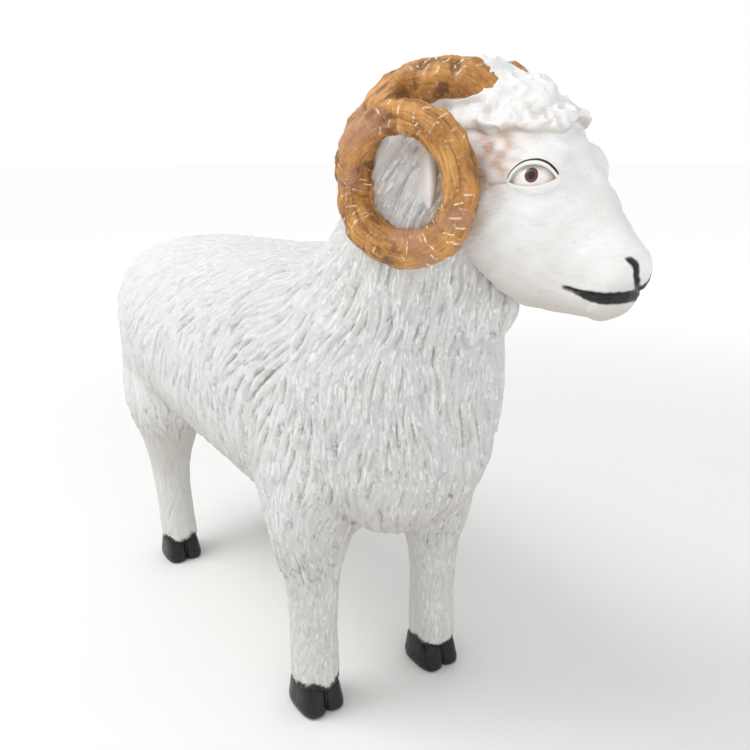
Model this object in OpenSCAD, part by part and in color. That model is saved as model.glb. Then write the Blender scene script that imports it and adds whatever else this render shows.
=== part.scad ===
// Life-size standing ram: hand-laid resin castings bonded over a welded steel frame.
// X points forward, Y to the ram's left, Z up. Z = 0 is the ground under the hooves.

/* [Fleece body] */
// Height of the back at the withers
back_h = 762; // [740:1:790]
// Half width of the fleece at the flanks
flank_half_w = 205; // [190:1:215]
// Thickness of every resin shell
wall = 6; // [4:0.5:8]
// Width of the joint tape laid inside the seam
tape_w = 60; // [40:5:90]

/* [Head] */
// Turn of the head towards the ram's left, in degrees
head_turn = 8; // [0:1:10]
// Radius of a cast eyeball
eye_r = 19; // [17:0.5:20]

/* [Horns] */
// Radius of the horn's coil, measured to the middle of the horn
coil_r = 86; // [82:1:88]
// Radius of the horn where it leaves the skull
horn_root_r = 28; // [25:1:30]
// Radius of the horn just before its blunt tip
horn_tip_r = 17; // [15:1:18]
// Turn of the coil about the vertical, away from the side of the head, in degrees
coil_flare = 16; // [12:1:20]

/* [Legs] */
// Height of a hoof
hoof_h = 62; // [56:1:66]
// Radius of the cannon, the thinnest part of a leg
cannon_r = 36; // [34:0.5:40]

/* [Steel frame] */
// Radius of the round bar in the legs and cross members
bar_r = 8; // [6:1:9]
// Height of the cross members that join the leg bars
cross_h = 540; // [520:5:560]

/* [Hidden] */

// Where the origin lies from the middle of the stance: under the middle of the whole ram.
origin_x = 81;
origin_y = 5;

// Feet on the ground, [x, y].
foot_front_right = [246, -112];
foot_front_left = [264, 124];
foot_hind_right = [-356, -128];
foot_hind_left = [-340, 148];

// The body as a row of ellipsoids: [x, z, half length, half width, half height, half flat],
// where the half flat is how far each ellipsoid is spread sideways to flatten back and belly.
body_row = [
    [-436, 566, 84, flank_half_w - 20, 116, 50],
    [-366, 556, 110, flank_half_w + 6, 166, 66],
    [-200, 542, 120, flank_half_w, 190, 74],
    [0, 538, 120, flank_half_w, 207, 74],
    [160, back_h - 222, 120, flank_half_w - 2, 222, 70],
    [262, 532, 130, flank_half_w - 16, 220, 50],
    [318, 566, 140, flank_half_w - 34, 196, 20],
    [352, 668, 132, flank_half_w - 62, 130, 0],
    [388, 756, 126, flank_half_w - 90, 114, 0],
    [414, 858, 112, flank_half_w - 114, 108, 0]];

// The head turns about this upright line.
neck_pivot = [360, 0, 0];

// The head as pairs of ellipsoids in its own frame, before it is turned.
cranium = [492, 908, 84, 72, 90];
forelock = [566, 936, 60, 62, 46];
brow = [590, 888, 50, 70, 46];
cheek = [552, 822, 70, 62, 66];
bridge = [654, 818, 42, 40, 36];
muzzle = [668, 792, 40, 38, 32];
chin = [652, 758, 40, 28, 27];
jaw = [590, 775, 50, 46, 40];
head_groups = [[cranium, forelock, cheek], [forelock, brow, cheek], [brow, bridge, cheek],
    [bridge, muzzle, cheek], [cheek, jaw, muzzle], [jaw, chin, muzzle]];
eye_seat = [605, 55, 886];

// The right horn coils about this point, from the root's angle to the tip's, in degrees.
coil_centre = [453, -102, 875];
root_angle = 52;
tip_angle = 544;
rings = 52;
sides = 14;

// Room round a bar where it passes through a shell, the depth of floor under its socket,
// and the gap that keeps a laminate or an eyeball off the shell that holds it.
bar_room = 10;
socket_floor = 18;
socket_play = 0.05;
skin_gap = 0.2;
tape_thickness = 4;
neck_passage = 420;

module place() { translate([-origin_x, -origin_y, 0]) children(); }

module turn_head() { translate(neck_pivot) rotate([0, 0, head_turn]) translate(-neck_pivot) children(); }

// An ellipsoid of a row, with its surface moved inwards by an inset. Two of them stand
// side by side where the row gives a flat.
module blob(e, inset = 0, fn = 20) {
    flat = len(e) > 5 ? e[5] : 0;
    for (y = flat > 0 ? [-flat, flat] : [0])
        translate([e[0], y, e[1]])
            scale([e[2] - inset, e[3] - flat - inset, e[4] - inset])
                rotate([0, 90, 0]) sphere(r = 1, $fn = fn);
}

// The skin over a row of ellipsoids: each is hulled with the next.
module row_solid(row, inset = 0, fn = 20) {
    for (i = [0 : len(row) - 2]) hull() { blob(row[i], inset, fn); blob(row[i + 1], inset, fn); }
}

module body_solid(inset = 0) {
    row_solid(body_row, inset);
    for (f = [foot_front_right, foot_front_left]) limb_solid(upper_arm_row, f, inset);
    for (f = [foot_hind_right, foot_hind_left]) limb_solid(thigh_row, f, inset);
}

module head_solid(inset = 0) {
    turn_head() for (group = head_groups) hull() for (e = group) blob(e, inset, 20);
}

// One half of the world, kept to the right (-1) or the left (1) of the seam.
module half_space(side, from = 0) {
    translate([-800, side > 0 ? from : -800 - from, -10]) cube([1700, 800, 1200]);
}

// The holes that let the frame's bars out of the body, into the legs and the head.
module bar_holes() {
    for (f = [foot_front_right, foot_front_left, foot_hind_right, foot_hind_left])
        translate([f[0], f[1], hoof_h]) cylinder(r = bar_r + bar_room, h = cross_h - hoof_h, $fn = 20);
    neck_line() cylinder(r = bar_r + bar_room, h = neck_passage, $fn = 20);
}

module body_half(side) {
    color("whitesmoke") difference() {
        intersection() { body_solid(); half_space(side); }
        body_solid(wall);
        bar_holes();
    }
}
module body_shell_right() { body_half(-1); }
module body_shell_left() { body_half(1); }

// Tape laminated over the inside of the seam, along the back, the rump and the belly.
module seam_tape() {
    color("tan") difference() {
        intersection() {
            body_solid(wall + skin_gap);
            translate([-800, -tape_w / 2, 0]) cube([1090, tape_w, 1200]);
        }
        body_solid(wall + tape_thickness);
    }
}

module head_shell() {
    color("white") difference() {
        head_solid();
        head_solid(wall);
        body_solid();
        for (side = [-1, 1]) eye_ball(side, eye_r + skin_gap);
        neck_line() cylinder(r = bar_r + bar_room, h = neck_passage, $fn = 20);
    }
}

module eye_ball(side, r) {
    turn_head() translate([eye_seat[0], side * eye_seat[1], eye_seat[2]]) sphere(r = r, $fn = 32);
}
module eye_right() { color("ivory") eye_ball(-1, eye_r); }
module eye_left() { color("ivory") eye_ball(1, eye_r); }

// The horn's middle line, from its root over the top, backwards, down, forwards and round again.
function ease(t) = t * t * (3 - 2 * t);
function horn_angle(t) = root_angle + (tip_angle - root_angle) * t;
function horn_spread(t) = 470 * (t + 0.06) * pow(1 - min(t / 0.31, 1), 3);
function horn_out(t) = -60 * pow(1 - min(t / 0.36, 1), 1.1) + 30 * ease(max(0, (t - 0.3) / 0.7));
function horn_point(t) = let (
        a = horn_angle(t),
        r = coil_r + horn_spread(t) - 17 * ease(t),
        along = r * cos(a),
        out = horn_out(t))
    [coil_centre[0] + along * cos(coil_flare) + out * sin(coil_flare),
     coil_centre[1] + along * sin(coil_flare) - out * cos(coil_flare),
     coil_centre[2] + r * sin(a)];
function horn_r(t) = (horn_tip_r + (horn_root_r - horn_tip_r) * pow(1 - t, 0.7))
    * sqrt(max(0.12, 1 - pow(max(0, (t - 0.965) / 0.037), 2)));
function unit(v) = v / norm(v);
function horn_ring(t) = let (
        p = horn_point(t),
        d = unit(horn_point(t + 0.004) - horn_point(t - 0.004)),
        side = unit(cross(d, [sin(coil_flare), -cos(coil_flare), 0])),
        up = cross(side, d))
    [for (k = [0 : sides - 1]) p + horn_r(t) * (cos(360 * k / sides) * side + sin(360 * k / sides) * up)];
module horn_solid() {
    points = [for (i = [0 : rings]) each horn_ring(i / rings)];
    walls = [for (i = [0 : rings - 1], k = [0 : sides - 1]) let (a = i * sides, b = a + sides, n = (k + 1) % sides)
        each [[a + k, b + n, b + k], [a + k, a + n, b + n]]];
    root_cap = [for (k = [sides - 1 : -1 : 0]) k];
    tip_cap = [for (k = [0 : sides - 1]) rings * sides + k];
    polyhedron(points = points, faces = concat(walls, [root_cap], [tip_cap]));
}
module horn(side) {
    color("peru") difference() {
        turn_head() scale([1, side < 0 ? 1 : -1, 1]) horn_solid();
        head_solid();
        body_solid();
    }
}
module horn_right() { horn(-1); }
module horn_left() { horn(1); }

// An ear is a flattened leaf that hangs behind the eye, below the horn's root.
ear_row = [[438, -60, 936, 14], [452, -80, 926, 17], [466, -93, 902, 19], [478, -99, 872, 15],
    [486, -100, 846, 6]];
module ear(side) {
    color("linen") difference() {
        turn_head() scale([1, side < 0 ? 1 : -1, 1])
            for (i = [0 : len(ear_row) - 2]) hull() for (e = [ear_row[i], ear_row[i + 1]])
                translate([e[0], e[1], e[2]]) rotate([0, 0, -20])
                    scale([e[3], e[3] * 0.45, e[3]]) sphere(r = 1, $fn = 16);
        head_solid();
        body_solid();
    }
}
module ear_right() { ear(-1); }
module ear_left() { ear(1); }

// A docked, woolly tail that lies against the rump.
tail_row = [[-500, 632, 18, 30, 24], [-518, 594, 20, 34, 30], [-524, 548, 19, 32, 32], [-516, 502, 15, 25, 26]];
module tail() {
    color("whitesmoke") difference() { row_solid(tail_row, 0, 18); body_solid(); }
}

// A limb as a row of ellipsoids up from its foot: [x, y, z, half length, half width, half height],
// where y grows away from the ram's middle.
// Below the knee or the hock it is a casting of its own; above, it is part of the fleece.
front_leg_row = [
    [4, 0, hoof_h + 6, cannon_r + 5, cannon_r + 1, 12],
    [3, 0, 105, cannon_r + 1, cannon_r - 1, 30],
    [2, 0, 150, cannon_r - 1, cannon_r - 2, 30],
    [4, 0, 200, cannon_r + 4, cannon_r + 3, 34],
    [0, 0, 250, cannon_r + 12, cannon_r + 11, 36],
    [-4, 0, 310, cannon_r + 22, cannon_r + 19, 40]];
upper_arm_row = [
    [-2, 0, 330, cannon_r + 30, cannon_r + 26, 40],
    [-4, -4, 372, cannon_r + 46, cannon_r + 34, 50],
    [4, -14, 450, cannon_r + 60, cannon_r + 40, 60]];
hind_leg_row = [
    [4, 0, hoof_h + 6, cannon_r + 4, cannon_r, 12],
    [0, 0, 105, cannon_r + 1, cannon_r - 1, 30],
    [-8, 0, 150, cannon_r + 2, cannon_r - 1, 30],
    [-18, 0, 205, cannon_r + 8, cannon_r + 2, 34],
    [-18, 0, 245, cannon_r + 16, cannon_r + 9, 36],
    [-10, 0, 312, cannon_r + 38, cannon_r + 24, 44]];
thigh_row = [
    [-8, -2, 345, cannon_r + 52, cannon_r + 34, 44],
    [-12, -8, 400, cannon_r + 72, cannon_r + 44, 60],
    [-22, -22, 480, cannon_r + 84, cannon_r + 50, 70]];
module limb_solid(row, foot, inset = 0) {
    side = sign(foot[1]);
    translate([foot[0], foot[1], 0])
        for (i = [0 : len(row) - 2]) hull() for (e = [row[i], row[i + 1]])
            translate([e[0], side * e[1], e[2]])
                scale([e[3] - inset, e[4] - inset, e[5] - inset]) sphere(r = 1, $fn = 20);
}
module leg(row, foot) {
    color("whitesmoke") difference() {
        limb_solid(row, foot);
        limb_solid(row, foot, wall);
        body_solid();
        translate([foot[0] - 100, foot[1] - 100, -10]) cube([200, 200, hoof_h + 10]);
        translate([foot[0], foot[1], 0]) cylinder(r = bar_r + bar_room, h = cross_h, $fn = 20);
    }
}
module leg_front_right() { leg(front_leg_row, foot_front_right); }
module leg_front_left() { leg(front_leg_row, foot_front_left); }
module leg_hind_right() { leg(hind_leg_row, foot_hind_right); }
module leg_hind_left() { leg(hind_leg_row, foot_hind_left); }

// One cloven hoof: two claws with flat soles, joined at the top, on a socket for the leg's bar.
module claw(side) {
    translate([0, side * 21, 0]) hull() {
        translate([24, 0, 0]) cylinder(r = 19, h = 14, $fn = 24);
        translate([-20, 0, 0]) cylinder(r = 20, h = 16, $fn = 24);
        translate([2, side * -4, hoof_h - 4]) scale([2.1, 1, 1]) cylinder(r = 18, h = 4, $fn = 24);
    }
}
module hoof(foot) {
    color("black") translate([foot[0], foot[1], 0]) difference() {
        union() { claw(-1); claw(1); }
        translate([0, 0, socket_floor]) cylinder(r = bar_r + socket_play, h = hoof_h, $fn = 48);
    }
}
module hoof_front_right() { hoof(foot_front_right); }
module hoof_front_left() { hoof(foot_front_left); }
module hoof_hind_right() { hoof(foot_hind_right); }
module hoof_hind_left() { hoof(foot_hind_left); }

// Upright bars, cast into the hooves and welded to the cross members.
module leg_bar(foot) {
    color("dimgray") translate([foot[0], foot[1], socket_floor])
        cylinder(r = bar_r, h = cross_h + 2 * bar_r - socket_floor, $fn = 48);
}
module leg_bar_front_right() { leg_bar(foot_front_right); }
module leg_bar_front_left() { leg_bar(foot_front_left); }
module leg_bar_hind_right() { leg_bar(foot_hind_right); }
module leg_bar_hind_left() { leg_bar(foot_hind_left); }

// A cross member runs from one bar to the other, butted and welded at both ends.
module bar_between(a, b, r) {
    d = b - a;
    translate(a) rotate([0, acos(d[2] / norm(d)), atan2(d[1], d[0])]) cylinder(r = r, h = norm(d), $fn = 48);
}
module cross_member(right, left) {
    color("dimgray") difference() {
        bar_between([right[0], right[1], cross_h], [left[0], left[1], cross_h], bar_r);
        for (f = [right, left]) translate([f[0], f[1], 0]) cylinder(r = bar_r, h = 700, $fn = 48);
    }
}
module cross_member_front() { cross_member(foot_front_right, foot_front_left); }
module cross_member_hind() { cross_member(foot_hind_right, foot_hind_left); }

// The spine bar lies on the cross members, and the neck bar rises from its front end into the head.
spine_z = cross_h + 2 * bar_r;
spine_back = -380;
spine_length = 700;
module spine_line() {
    translate([spine_back, 0, spine_z]) rotate([0, 90, 0]) cylinder(r = bar_r, h = spine_length, $fn = 48);
}
module spine_bar() { color("dimgray") spine_line(); }
neck_foot = [300, 0, spine_z];
neck_head = [478, 16, 880];
module neck_line() {
    d = neck_head - neck_foot;
    translate(neck_foot) rotate([0, acos(d[2] / norm(d)), atan2(d[1], d[0])]) children();
}
module neck_bar() {
    color("dimgray") difference() {
        neck_line() cylinder(r = bar_r, h = norm(neck_head - neck_foot), $fn = 48);
        spine_line();
    }
}

place() {
    body_shell_right();
    body_shell_left();
    seam_tape();
    head_shell();
    tail();
    horn_right();
    horn_left();
    ear_right();
    ear_left();
    eye_right();
    eye_left();
    leg_front_right();
    leg_front_left();
    leg_hind_right();
    leg_hind_left();
    hoof_front_right();
    hoof_front_left();
    hoof_hind_right();
    hoof_hind_left();
    leg_bar_front_right();
    leg_bar_front_left();
    leg_bar_hind_right();
    leg_bar_hind_left();
    cross_member_front();
    cross_member_hind();
    spine_bar();
    neck_bar();
}
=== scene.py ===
import itertools

import bmesh
import bpy
import numpy as np
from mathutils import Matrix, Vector


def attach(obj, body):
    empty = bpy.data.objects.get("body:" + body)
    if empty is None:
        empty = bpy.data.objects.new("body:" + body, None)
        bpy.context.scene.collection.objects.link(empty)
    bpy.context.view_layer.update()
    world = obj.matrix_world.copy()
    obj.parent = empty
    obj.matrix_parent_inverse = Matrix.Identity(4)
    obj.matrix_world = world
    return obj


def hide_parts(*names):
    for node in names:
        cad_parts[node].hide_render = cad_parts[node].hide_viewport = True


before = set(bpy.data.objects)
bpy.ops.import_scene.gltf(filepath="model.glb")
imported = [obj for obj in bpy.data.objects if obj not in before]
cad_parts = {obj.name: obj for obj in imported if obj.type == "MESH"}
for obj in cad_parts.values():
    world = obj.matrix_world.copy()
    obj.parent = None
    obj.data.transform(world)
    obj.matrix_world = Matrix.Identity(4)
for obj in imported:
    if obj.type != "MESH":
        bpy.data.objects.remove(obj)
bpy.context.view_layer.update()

# --- shapes
MM = 0.001

# The frame's origin is under the middle of the whole ram. Shapes are worked out from the middle
# of its stance instead, which lies here in the frame.
STANCE = np.array([-0.081, -0.005, 0.0])
FEET = {"front_right": (246, -112), "front_left": (264, 124),
        "hind_right": (-356, -128), "hind_left": (-340, 148)}
HEM = {"front": 330, "hind": 340}
SEED = 7


def curve(knots, x):
    """Smooth curves through knots (x, value, value, ...). Between two knots each value follows the
    cubic whose end slopes are those of the lines through the knots' neighbours; beyond the ends it
    stays level."""
    knots = np.asarray(knots, float)
    at, values = knots[:, 0], knots[:, 1:]
    slopes = np.gradient(values, at, axis=0)
    x = np.clip(x, at[0], at[-1])
    i = np.clip(np.searchsorted(at, x, side="right") - 1, 0, len(at) - 2)
    span = (at[i + 1] - at[i])[:, None]
    t = (x - at[i])[:, None] / span
    return ((1 + 2 * t) * (1 - t) ** 2 * values[i] + t * (1 - t) ** 2 * span * slopes[i]
            + t * t * (3 - 2 * t) * values[i + 1] + t * t * (t - 1) * span * slopes[i + 1])


def smooth(low, high, x):
    """0 below low, 1 above high, and 3t^2 - 2t^3 between."""
    t = np.clip((x - low) / (high - low), 0, 1)
    return t * t * (3 - 2 * t)


def unit(v):
    """Each vector divided by its length."""
    return v / np.maximum(np.linalg.norm(v, axis=-1, keepdims=True), 1e-12)


def ellipsoid(p, centre, radii):
    """About the distance to an ellipsoid, from the two norms of the scaled point, k0 (k0 - 1) / k1."""
    radii = np.asarray(radii, float)
    q = (p - np.asarray(centre, float)) / radii
    k0 = np.linalg.norm(q, axis=1)
    k1 = np.linalg.norm(q / radii, axis=1)
    return k0 * (k0 - 1) / np.maximum(k1, 1e-9)


def tube(p, start, axis, up, knots, caps, power=2.0, egg=0.0):
    """About the distance to a tube carried along a straight axis. At each station the knots give the
    shift along up, the shift along side, the half size along up and the half size along side, and the
    outline is |u|^n + |v|^n = 1 with n the power. The ends are closed by caps of the same power. egg
    narrows the side half size towards up."""
    axis, up = unit(np.asarray(axis, float)), unit(np.asarray(up, float))
    side = np.cross(axis, up)
    d = p - np.asarray(start, float)
    s = d @ axis
    rows = curve(knots, s)
    low, high = knots[0][0], knots[-1][0]
    u = (d @ up - rows[:, 0]) / rows[:, 2]
    v = (d @ side - rows[:, 1]) / (rows[:, 3] * (1 - egg * np.clip(u, -1, 1)))
    e = np.maximum(low - s, 0) / caps[0] + np.maximum(s - high, 0) / caps[1]
    r = (np.abs(u) ** power + np.abs(v) ** power + e ** power) ** (1 / power)
    return (r - 1) * np.minimum(rows[:, 2], rows[:, 3])


def join(a, b, k):
    """The smaller of two distances, rounded over a band of width k: a cubic fillet."""
    h = np.maximum(k - np.abs(a - b), 0) / k
    return np.minimum(a, b) - h ** 3 * k / 6


def cut(a, b, k):
    """The part of a that is outside b, with its edge rounded over a band of width k."""
    return -join(-a, b, k)


# Torso: along X, then middle height, sideways shift, half height and half width, in millimetres.
TORSO = [(-440, 561, 0, 152, 184), (-380, 560, 0, 161, 201), (-300, 551, 0, 176, 208),
         (-150, 543, 0, 192, 204), (0, 541, 0, 203, 202), (150, 541, 0, 217, 190),
         (250, 540, 0, 220, 168), (330, 553, 0, 198, 138)]
# Neck: up from the chest towards the skull.
NECK = [(-40, 0, 0, 138, 148), (60, 0, 0, 128, 132), (140, 0, 0, 117, 110),
        (220, 0, 4, 108, 92), (262, 0, 8, 104, 85)]
# Limbs: up from the ground, then shifts forwards and outwards, half length and half width.
FRONT = [(38, 4, 0, 31, 28), (50, 4, 0, 38.5, 35.5), (72, 4, 0, 41, 38), (105, 3, 0, 40, 38),
         (150, 2, 0, 39, 37), (200, 3, 0, 41, 39), (250, 0, 0, 46, 44), (300, -3, 0, 55, 51),
         (340, -4, -2, 65, 58), (380, -4, -5, 76, 65), (450, 4, -14, 90, 71), (500, 8, -20, 90, 69)]
HIND = [(38, 4, 0, 31, 28), (50, 4, 0, 38.5, 35.5), (72, 2, 0, 40, 37), (105, -3, 0, 39, 36),
        (150, -11, 0, 39, 36), (205, -20, 0, 44, 39), (245, -18, 0, 51, 44), (290, -14, 0, 66, 54),
        (340, -11, -2, 88, 68), (400, -16, -8, 109, 81), (480, -24, -22, 119, 86)]


def coat_field(p):
    """Torso, neck, throat wool and the four limbs, joined with wide fillets. p is in millimetres from
    the middle between the feet."""
    f = tube(p, (0, 0, 0), (1, 0, 0), (0, 0, 1), TORSO, (82, 124), 2.3)
    f = join(f, tube(p, (318, 0, 640), (107, 0, 240), (-240, 0, 107), NECK, (60, 90), 2.1), 70)
    f = join(f, ellipsoid(p, (478, 12, 722), (52, 42, 46)), 55)
    for name, (x, y) in FEET.items():
        rows = FRONT if name.startswith("front") else HIND
        out = np.sign(y)
        rows = [(s, a, out * b, c, d) for s, a, b, c, d in rows]
        leg = tube(p, (x, y, 0), (0, 0, 1), (1, 0, 0), rows, (14, 60), 2.1)
        f = join(f, leg, 45)
    return f


# Head, in its own frame before it is turned: along its axis from the skull to the nose, with the
# shift along the head's up, the sideways shift, and the half sizes along up and sideways.
TURN = np.radians(8)
PIVOT = np.array([360.0, 0.0, 0.0])
HEAD_START, HEAD_AXIS, HEAD_UP = (500, 0, 900), (0.855, 0, -0.518), (0.518, 0, 0.855)
HEAD = [(-60, 11, 0, 71, 58), (0, -2, 0, 92, 69), (50, -10, 0, 101, 71), (98, -20, 0, 95, 67),
        (140, -27, 0, 84, 54), (180, -24, 0, 65, 40), (215, -20, 0, 47, 31)]

# The left eye: the middle of its corners, and its own directions along the slit, up and outwards.
# The right eye is its mirror image.
EYE = np.array([594.5, 51.5, 879.0])
EYE_ALONG = np.array([0.935, -0.342, 0.09])
EYE_OUT = unit(np.cross(np.cross(EYE_ALONG, (0.33, 0.9, 0.2)), EYE_ALONG))
EYE_UP = np.cross(EYE_ALONG, EYE_OUT) * np.sign(np.cross(EYE_ALONG, EYE_OUT)[2])
EYE_HALF = 25.5
BALL_CENTRE, BALL_RADII = (0, 4, -7.0), (31, 20, 17)
FORELOCK_Z, FORELOCK_THICK = 936.0, 5.0


def mirrored(p):
    """The point on the head's left side, which stands for both sides."""
    return np.column_stack([p[:, 0], np.abs(p[:, 1]), p[:, 2]])


def eye_frame(q):
    """Distances along the eye's slit, upwards and outwards from the middle of its corners."""
    d = q - EYE
    return np.column_stack([d @ EYE_ALONG, d @ EYE_UP, d @ EYE_OUT])


def lid_edges(a):
    """Heights of the upper and the lower lid's edge along the slit: arches that meet at the corners."""
    t = np.clip(np.abs(a) / EYE_HALF, 0, 1)
    return 15.5 * (1 - t ** 2.2) ** 0.8, -6.5 * (1 - t ** 2) ** 0.9


def skull_field(p):
    """The bare head: a tube along its axis with the nose, the chin and the brows joined on."""
    f = tube(p, HEAD_START, HEAD_AXIS, HEAD_UP, HEAD, (42, 24), 2.2, 0.12)
    q = mirrored(p)
    f = join(f, ellipsoid(q, (671, 8, 787), (32, 23, 27)), 26)
    f = join(f, ellipsoid(q, (658, 0, 754), (33, 23, 19)), 20)
    return join(f, ellipsoid(q, (592, 38, 893), (34, 20, 24)), 22)


def forelock_edge(p):
    """Height of the forelock's wavy lower edge."""
    front = smooth(560, 612, p[:, 0])
    wave = 5 * np.sin(p[:, 1] / 9.0 + 0.8) * front + 3 * np.sin(p[:, 0] / 8.0) + 4 * np.sin(p[:, 1] / 21.0)
    return FORELOCK_Z + wave - 6 * (1 - front)


def crown_field(p):
    """The bare head with the forelock's thickness all over it, for its locks to run on."""
    return skull_field(p) - FORELOCK_THICK


def face_field(p):
    """The head with round lids over its eyes and the woolly forelock, which is the part of the head
    above a wavy line, thickened, most of all in the roll along its lower edge and over the crown."""
    f = skull_field(p)
    lids = ellipsoid(eye_frame(mirrored(p)), BALL_CENTRE, np.add(BALL_RADII, 1.5))
    face = join(f, lids, 9)
    over = p[:, 2] - forelock_edge(p)
    roll = 3.5 * np.exp(-((over - 12) / 12) ** 2)
    swell = FORELOCK_THICK + roll + 5 * smooth(15, 60, over) + 1.8 * wander(p, 42, 25)
    cap = -join(-(f - swell), over, 15)
    return join(face, cap, 6)


def head_field(p):
    """The face with the two pits that hold the eyeballs."""
    e = eye_frame(mirrored(p))
    upper, lower = lid_edges(e[:, 0])
    slit = np.maximum(np.maximum(e[:, 1] - upper, lower - e[:, 1]), np.abs(e[:, 0]) - EYE_HALF)
    return cut(face_field(p), np.maximum(slit, -13 - e[:, 2]), 2.5)


def turned(p):
    """Head frame to stance frame: a turn about the pivot's upright line."""
    c, s = np.cos(TURN), np.sin(TURN)
    d = p - PIVOT
    return np.column_stack([c * d[:, 0] - s * d[:, 1], s * d[:, 0] + c * d[:, 1], d[:, 2]]) + PIVOT


def skin(field, low, high, step):
    """The surface where field is 0, as quads, by surface nets: every grid cell that the surface
    passes through holds one point, the mean of where the surface cuts the cell's edges, and every
    grid edge that the surface cuts makes a quad of the four cells round it. The field is worked out
    only in blocks that are near the surface."""
    block = 4
    low = np.asarray(low, float)
    count = (np.ceil((np.asarray(high, float) - low) / step / block).astype(int)) * block + 1
    coarse = np.stack(np.meshgrid(*[np.arange(0, n, block) for n in count], indexing="ij"), -1)
    near = np.abs(field(low + coarse.reshape(-1, 3) * step)).reshape(coarse.shape[:3]) < step * block * 1.9
    value = np.full(count, np.nan)
    index = np.indices(count).reshape(3, -1).T
    rounded = np.rint(index / block).astype(int)
    wanted = near[rounded[:, 0], rounded[:, 1], rounded[:, 2]]
    flat = value.reshape(-1)
    flat[wanted] = field(low + index[wanted] * step)
    cells = [n - 1 for n in count]
    corner = list(itertools.product((0, 1), repeat=3))

    def at(c):
        """The grid's values at each cell's corner numbered by c."""
        return value[c[0]:c[0] + cells[0], c[1]:c[1] + cells[1], c[2]:c[2] + cells[2]]

    signs = sum((at(c) < 0).astype(np.int8) for c in corner)
    known = ~np.isnan(sum(at(c) for c in corner))
    mixed = known & (signs > 0) & (signs < 8)
    where = np.argwhere(mixed)
    number = np.full(cells, -1)
    number[mixed] = np.arange(len(where))
    total, hits = np.zeros((len(where), 3)), np.zeros(len(where))
    for a, b in itertools.combinations(corner, 2):
        if sum(abs(i - j) for i, j in zip(a, b)) != 1:
            continue
        va, vb = at(a)[mixed], at(b)[mixed]
        crossed = (va < 0) != (vb < 0)
        t = np.where(crossed, va / np.where(crossed, va - vb, 1), 0)[:, None]
        total += np.where(crossed[:, None], np.array(a) + t * (np.array(b) - np.array(a)), 0)
        hits += crossed
    points = low + (where + total / hits[:, None]) * step
    quads = []
    for axis in range(3):
        one, two = [(1, 2), (2, 0), (0, 1)][axis]
        ahead = np.roll(value, -1, axis)
        crossed = ((value < 0) != (ahead < 0)) & ~np.isnan(value) & ~np.isnan(ahead)
        edge = np.argwhere(crossed)
        edge = edge[(edge > 0).all(1) & (edge < np.array(cells)).all(1)]
        ring = []
        for da, db in ((-1, -1), (0, -1), (0, 0), (-1, 0)):
            cell = edge.copy()
            cell[:, one] += da
            cell[:, two] += db
            ring.append(number[cell[:, 0], cell[:, 1], cell[:, 2]])
        ring = np.column_stack(ring)
        leaving = value[edge[:, 0], edge[:, 1], edge[:, 2]] < 0
        ring = np.where(leaving[:, None], ring, ring[:, ::-1])
        quads.append(ring[(ring >= 0).all(1)])
    return points, np.concatenate(quads)


def slope(field, p, h=0.5):
    """The field's unit gradient, from differences over h millimetres."""
    step = np.eye(3) * h
    return unit(np.column_stack([field(p + e) - field(p - e) for e in step]))


def settle(field, p, rounds=2):
    """Moves points onto the surface where field is 0, along its gradient, by Newton's rule."""
    for _ in range(rounds):
        d = np.column_stack([field(p + e) - field(p - e) for e in np.eye(3) * 0.5])
        f = field(p)
        p = p - d * (f / np.maximum((d * d).sum(1), 1e-9))[:, None]
    return p


def even(p, quads, rounds=2):
    """Each point moves to the mean of the middles of its quads."""
    for _ in range(rounds):
        middle = p[quads].mean(1)
        total, count = np.zeros_like(p), np.bincount(quads.ravel(), minlength=len(p))
        for k in range(3):
            total[:, k] = np.bincount(quads.ravel(), np.repeat(middle[:, k], 4), minlength=len(p))
        p = total / np.maximum(count, 1)[:, None]
    return p


def split(p, quads):
    """Cuts each quad into four, with new points at the middles of its edges and of the quad."""
    edges = np.sort(np.stack([quads, np.roll(quads, -1, 1)], -1).reshape(-1, 2), 1)
    key, back = np.unique(edges[:, 0] * len(p) + edges[:, 1], return_inverse=True)
    pairs = np.column_stack([key // len(p), key % len(p)])
    e = back.reshape(-1, 4) + len(p)
    c = np.arange(len(quads)) + len(p) + len(pairs)
    fine = [np.column_stack([quads[:, i], e[:, i], c, e[:, i - 1]]) for i in range(4)]
    return np.concatenate([p, p[pairs].mean(1), p[quads].mean(1)]), np.concatenate(fine)


def surface(field, low, high, step):
    """A field's surface as even quads of half a step: surface nets, evened, split and settled."""
    p, quads = skin(field, low, high, step)
    p = settle(field, even(p, quads, 2))
    p, quads = split(p, quads)
    return settle(field, even(p, quads, 1)), quads


def wander(p, size, seed, count=9):
    """A smooth random value, mostly between -1 and 1: the sum of sine waves that run in random
    directions, each 0.7 to 1.6 times size long."""
    rng = np.random.default_rng(seed)
    way = unit(rng.normal(size=(count, 3))) / (size * rng.uniform(0.7, 1.6, (count, 1)))
    return np.sin(p @ way.T * 2 * np.pi + rng.uniform(0, 2 * np.pi, count)).sum(1) / np.sqrt(count)


def scatter(p, spacing, rng):
    """Numbers of points picked at random, one from each cube whose side is spacing."""
    order = rng.permutation(len(p))
    cell = np.floor((p[order] - p.min(0)) / spacing).astype(np.int64)
    first = np.unique((cell[:, 0] * 4096 + cell[:, 1]) * 4096 + cell[:, 2], return_index=True)[1]
    return order[first]


def spun(d, n, angle):
    """A tangent direction d turned about the normal n."""
    return d * np.cos(angle)[:, None] + np.cross(n, d) * np.sin(angle)[:, None]


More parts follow.
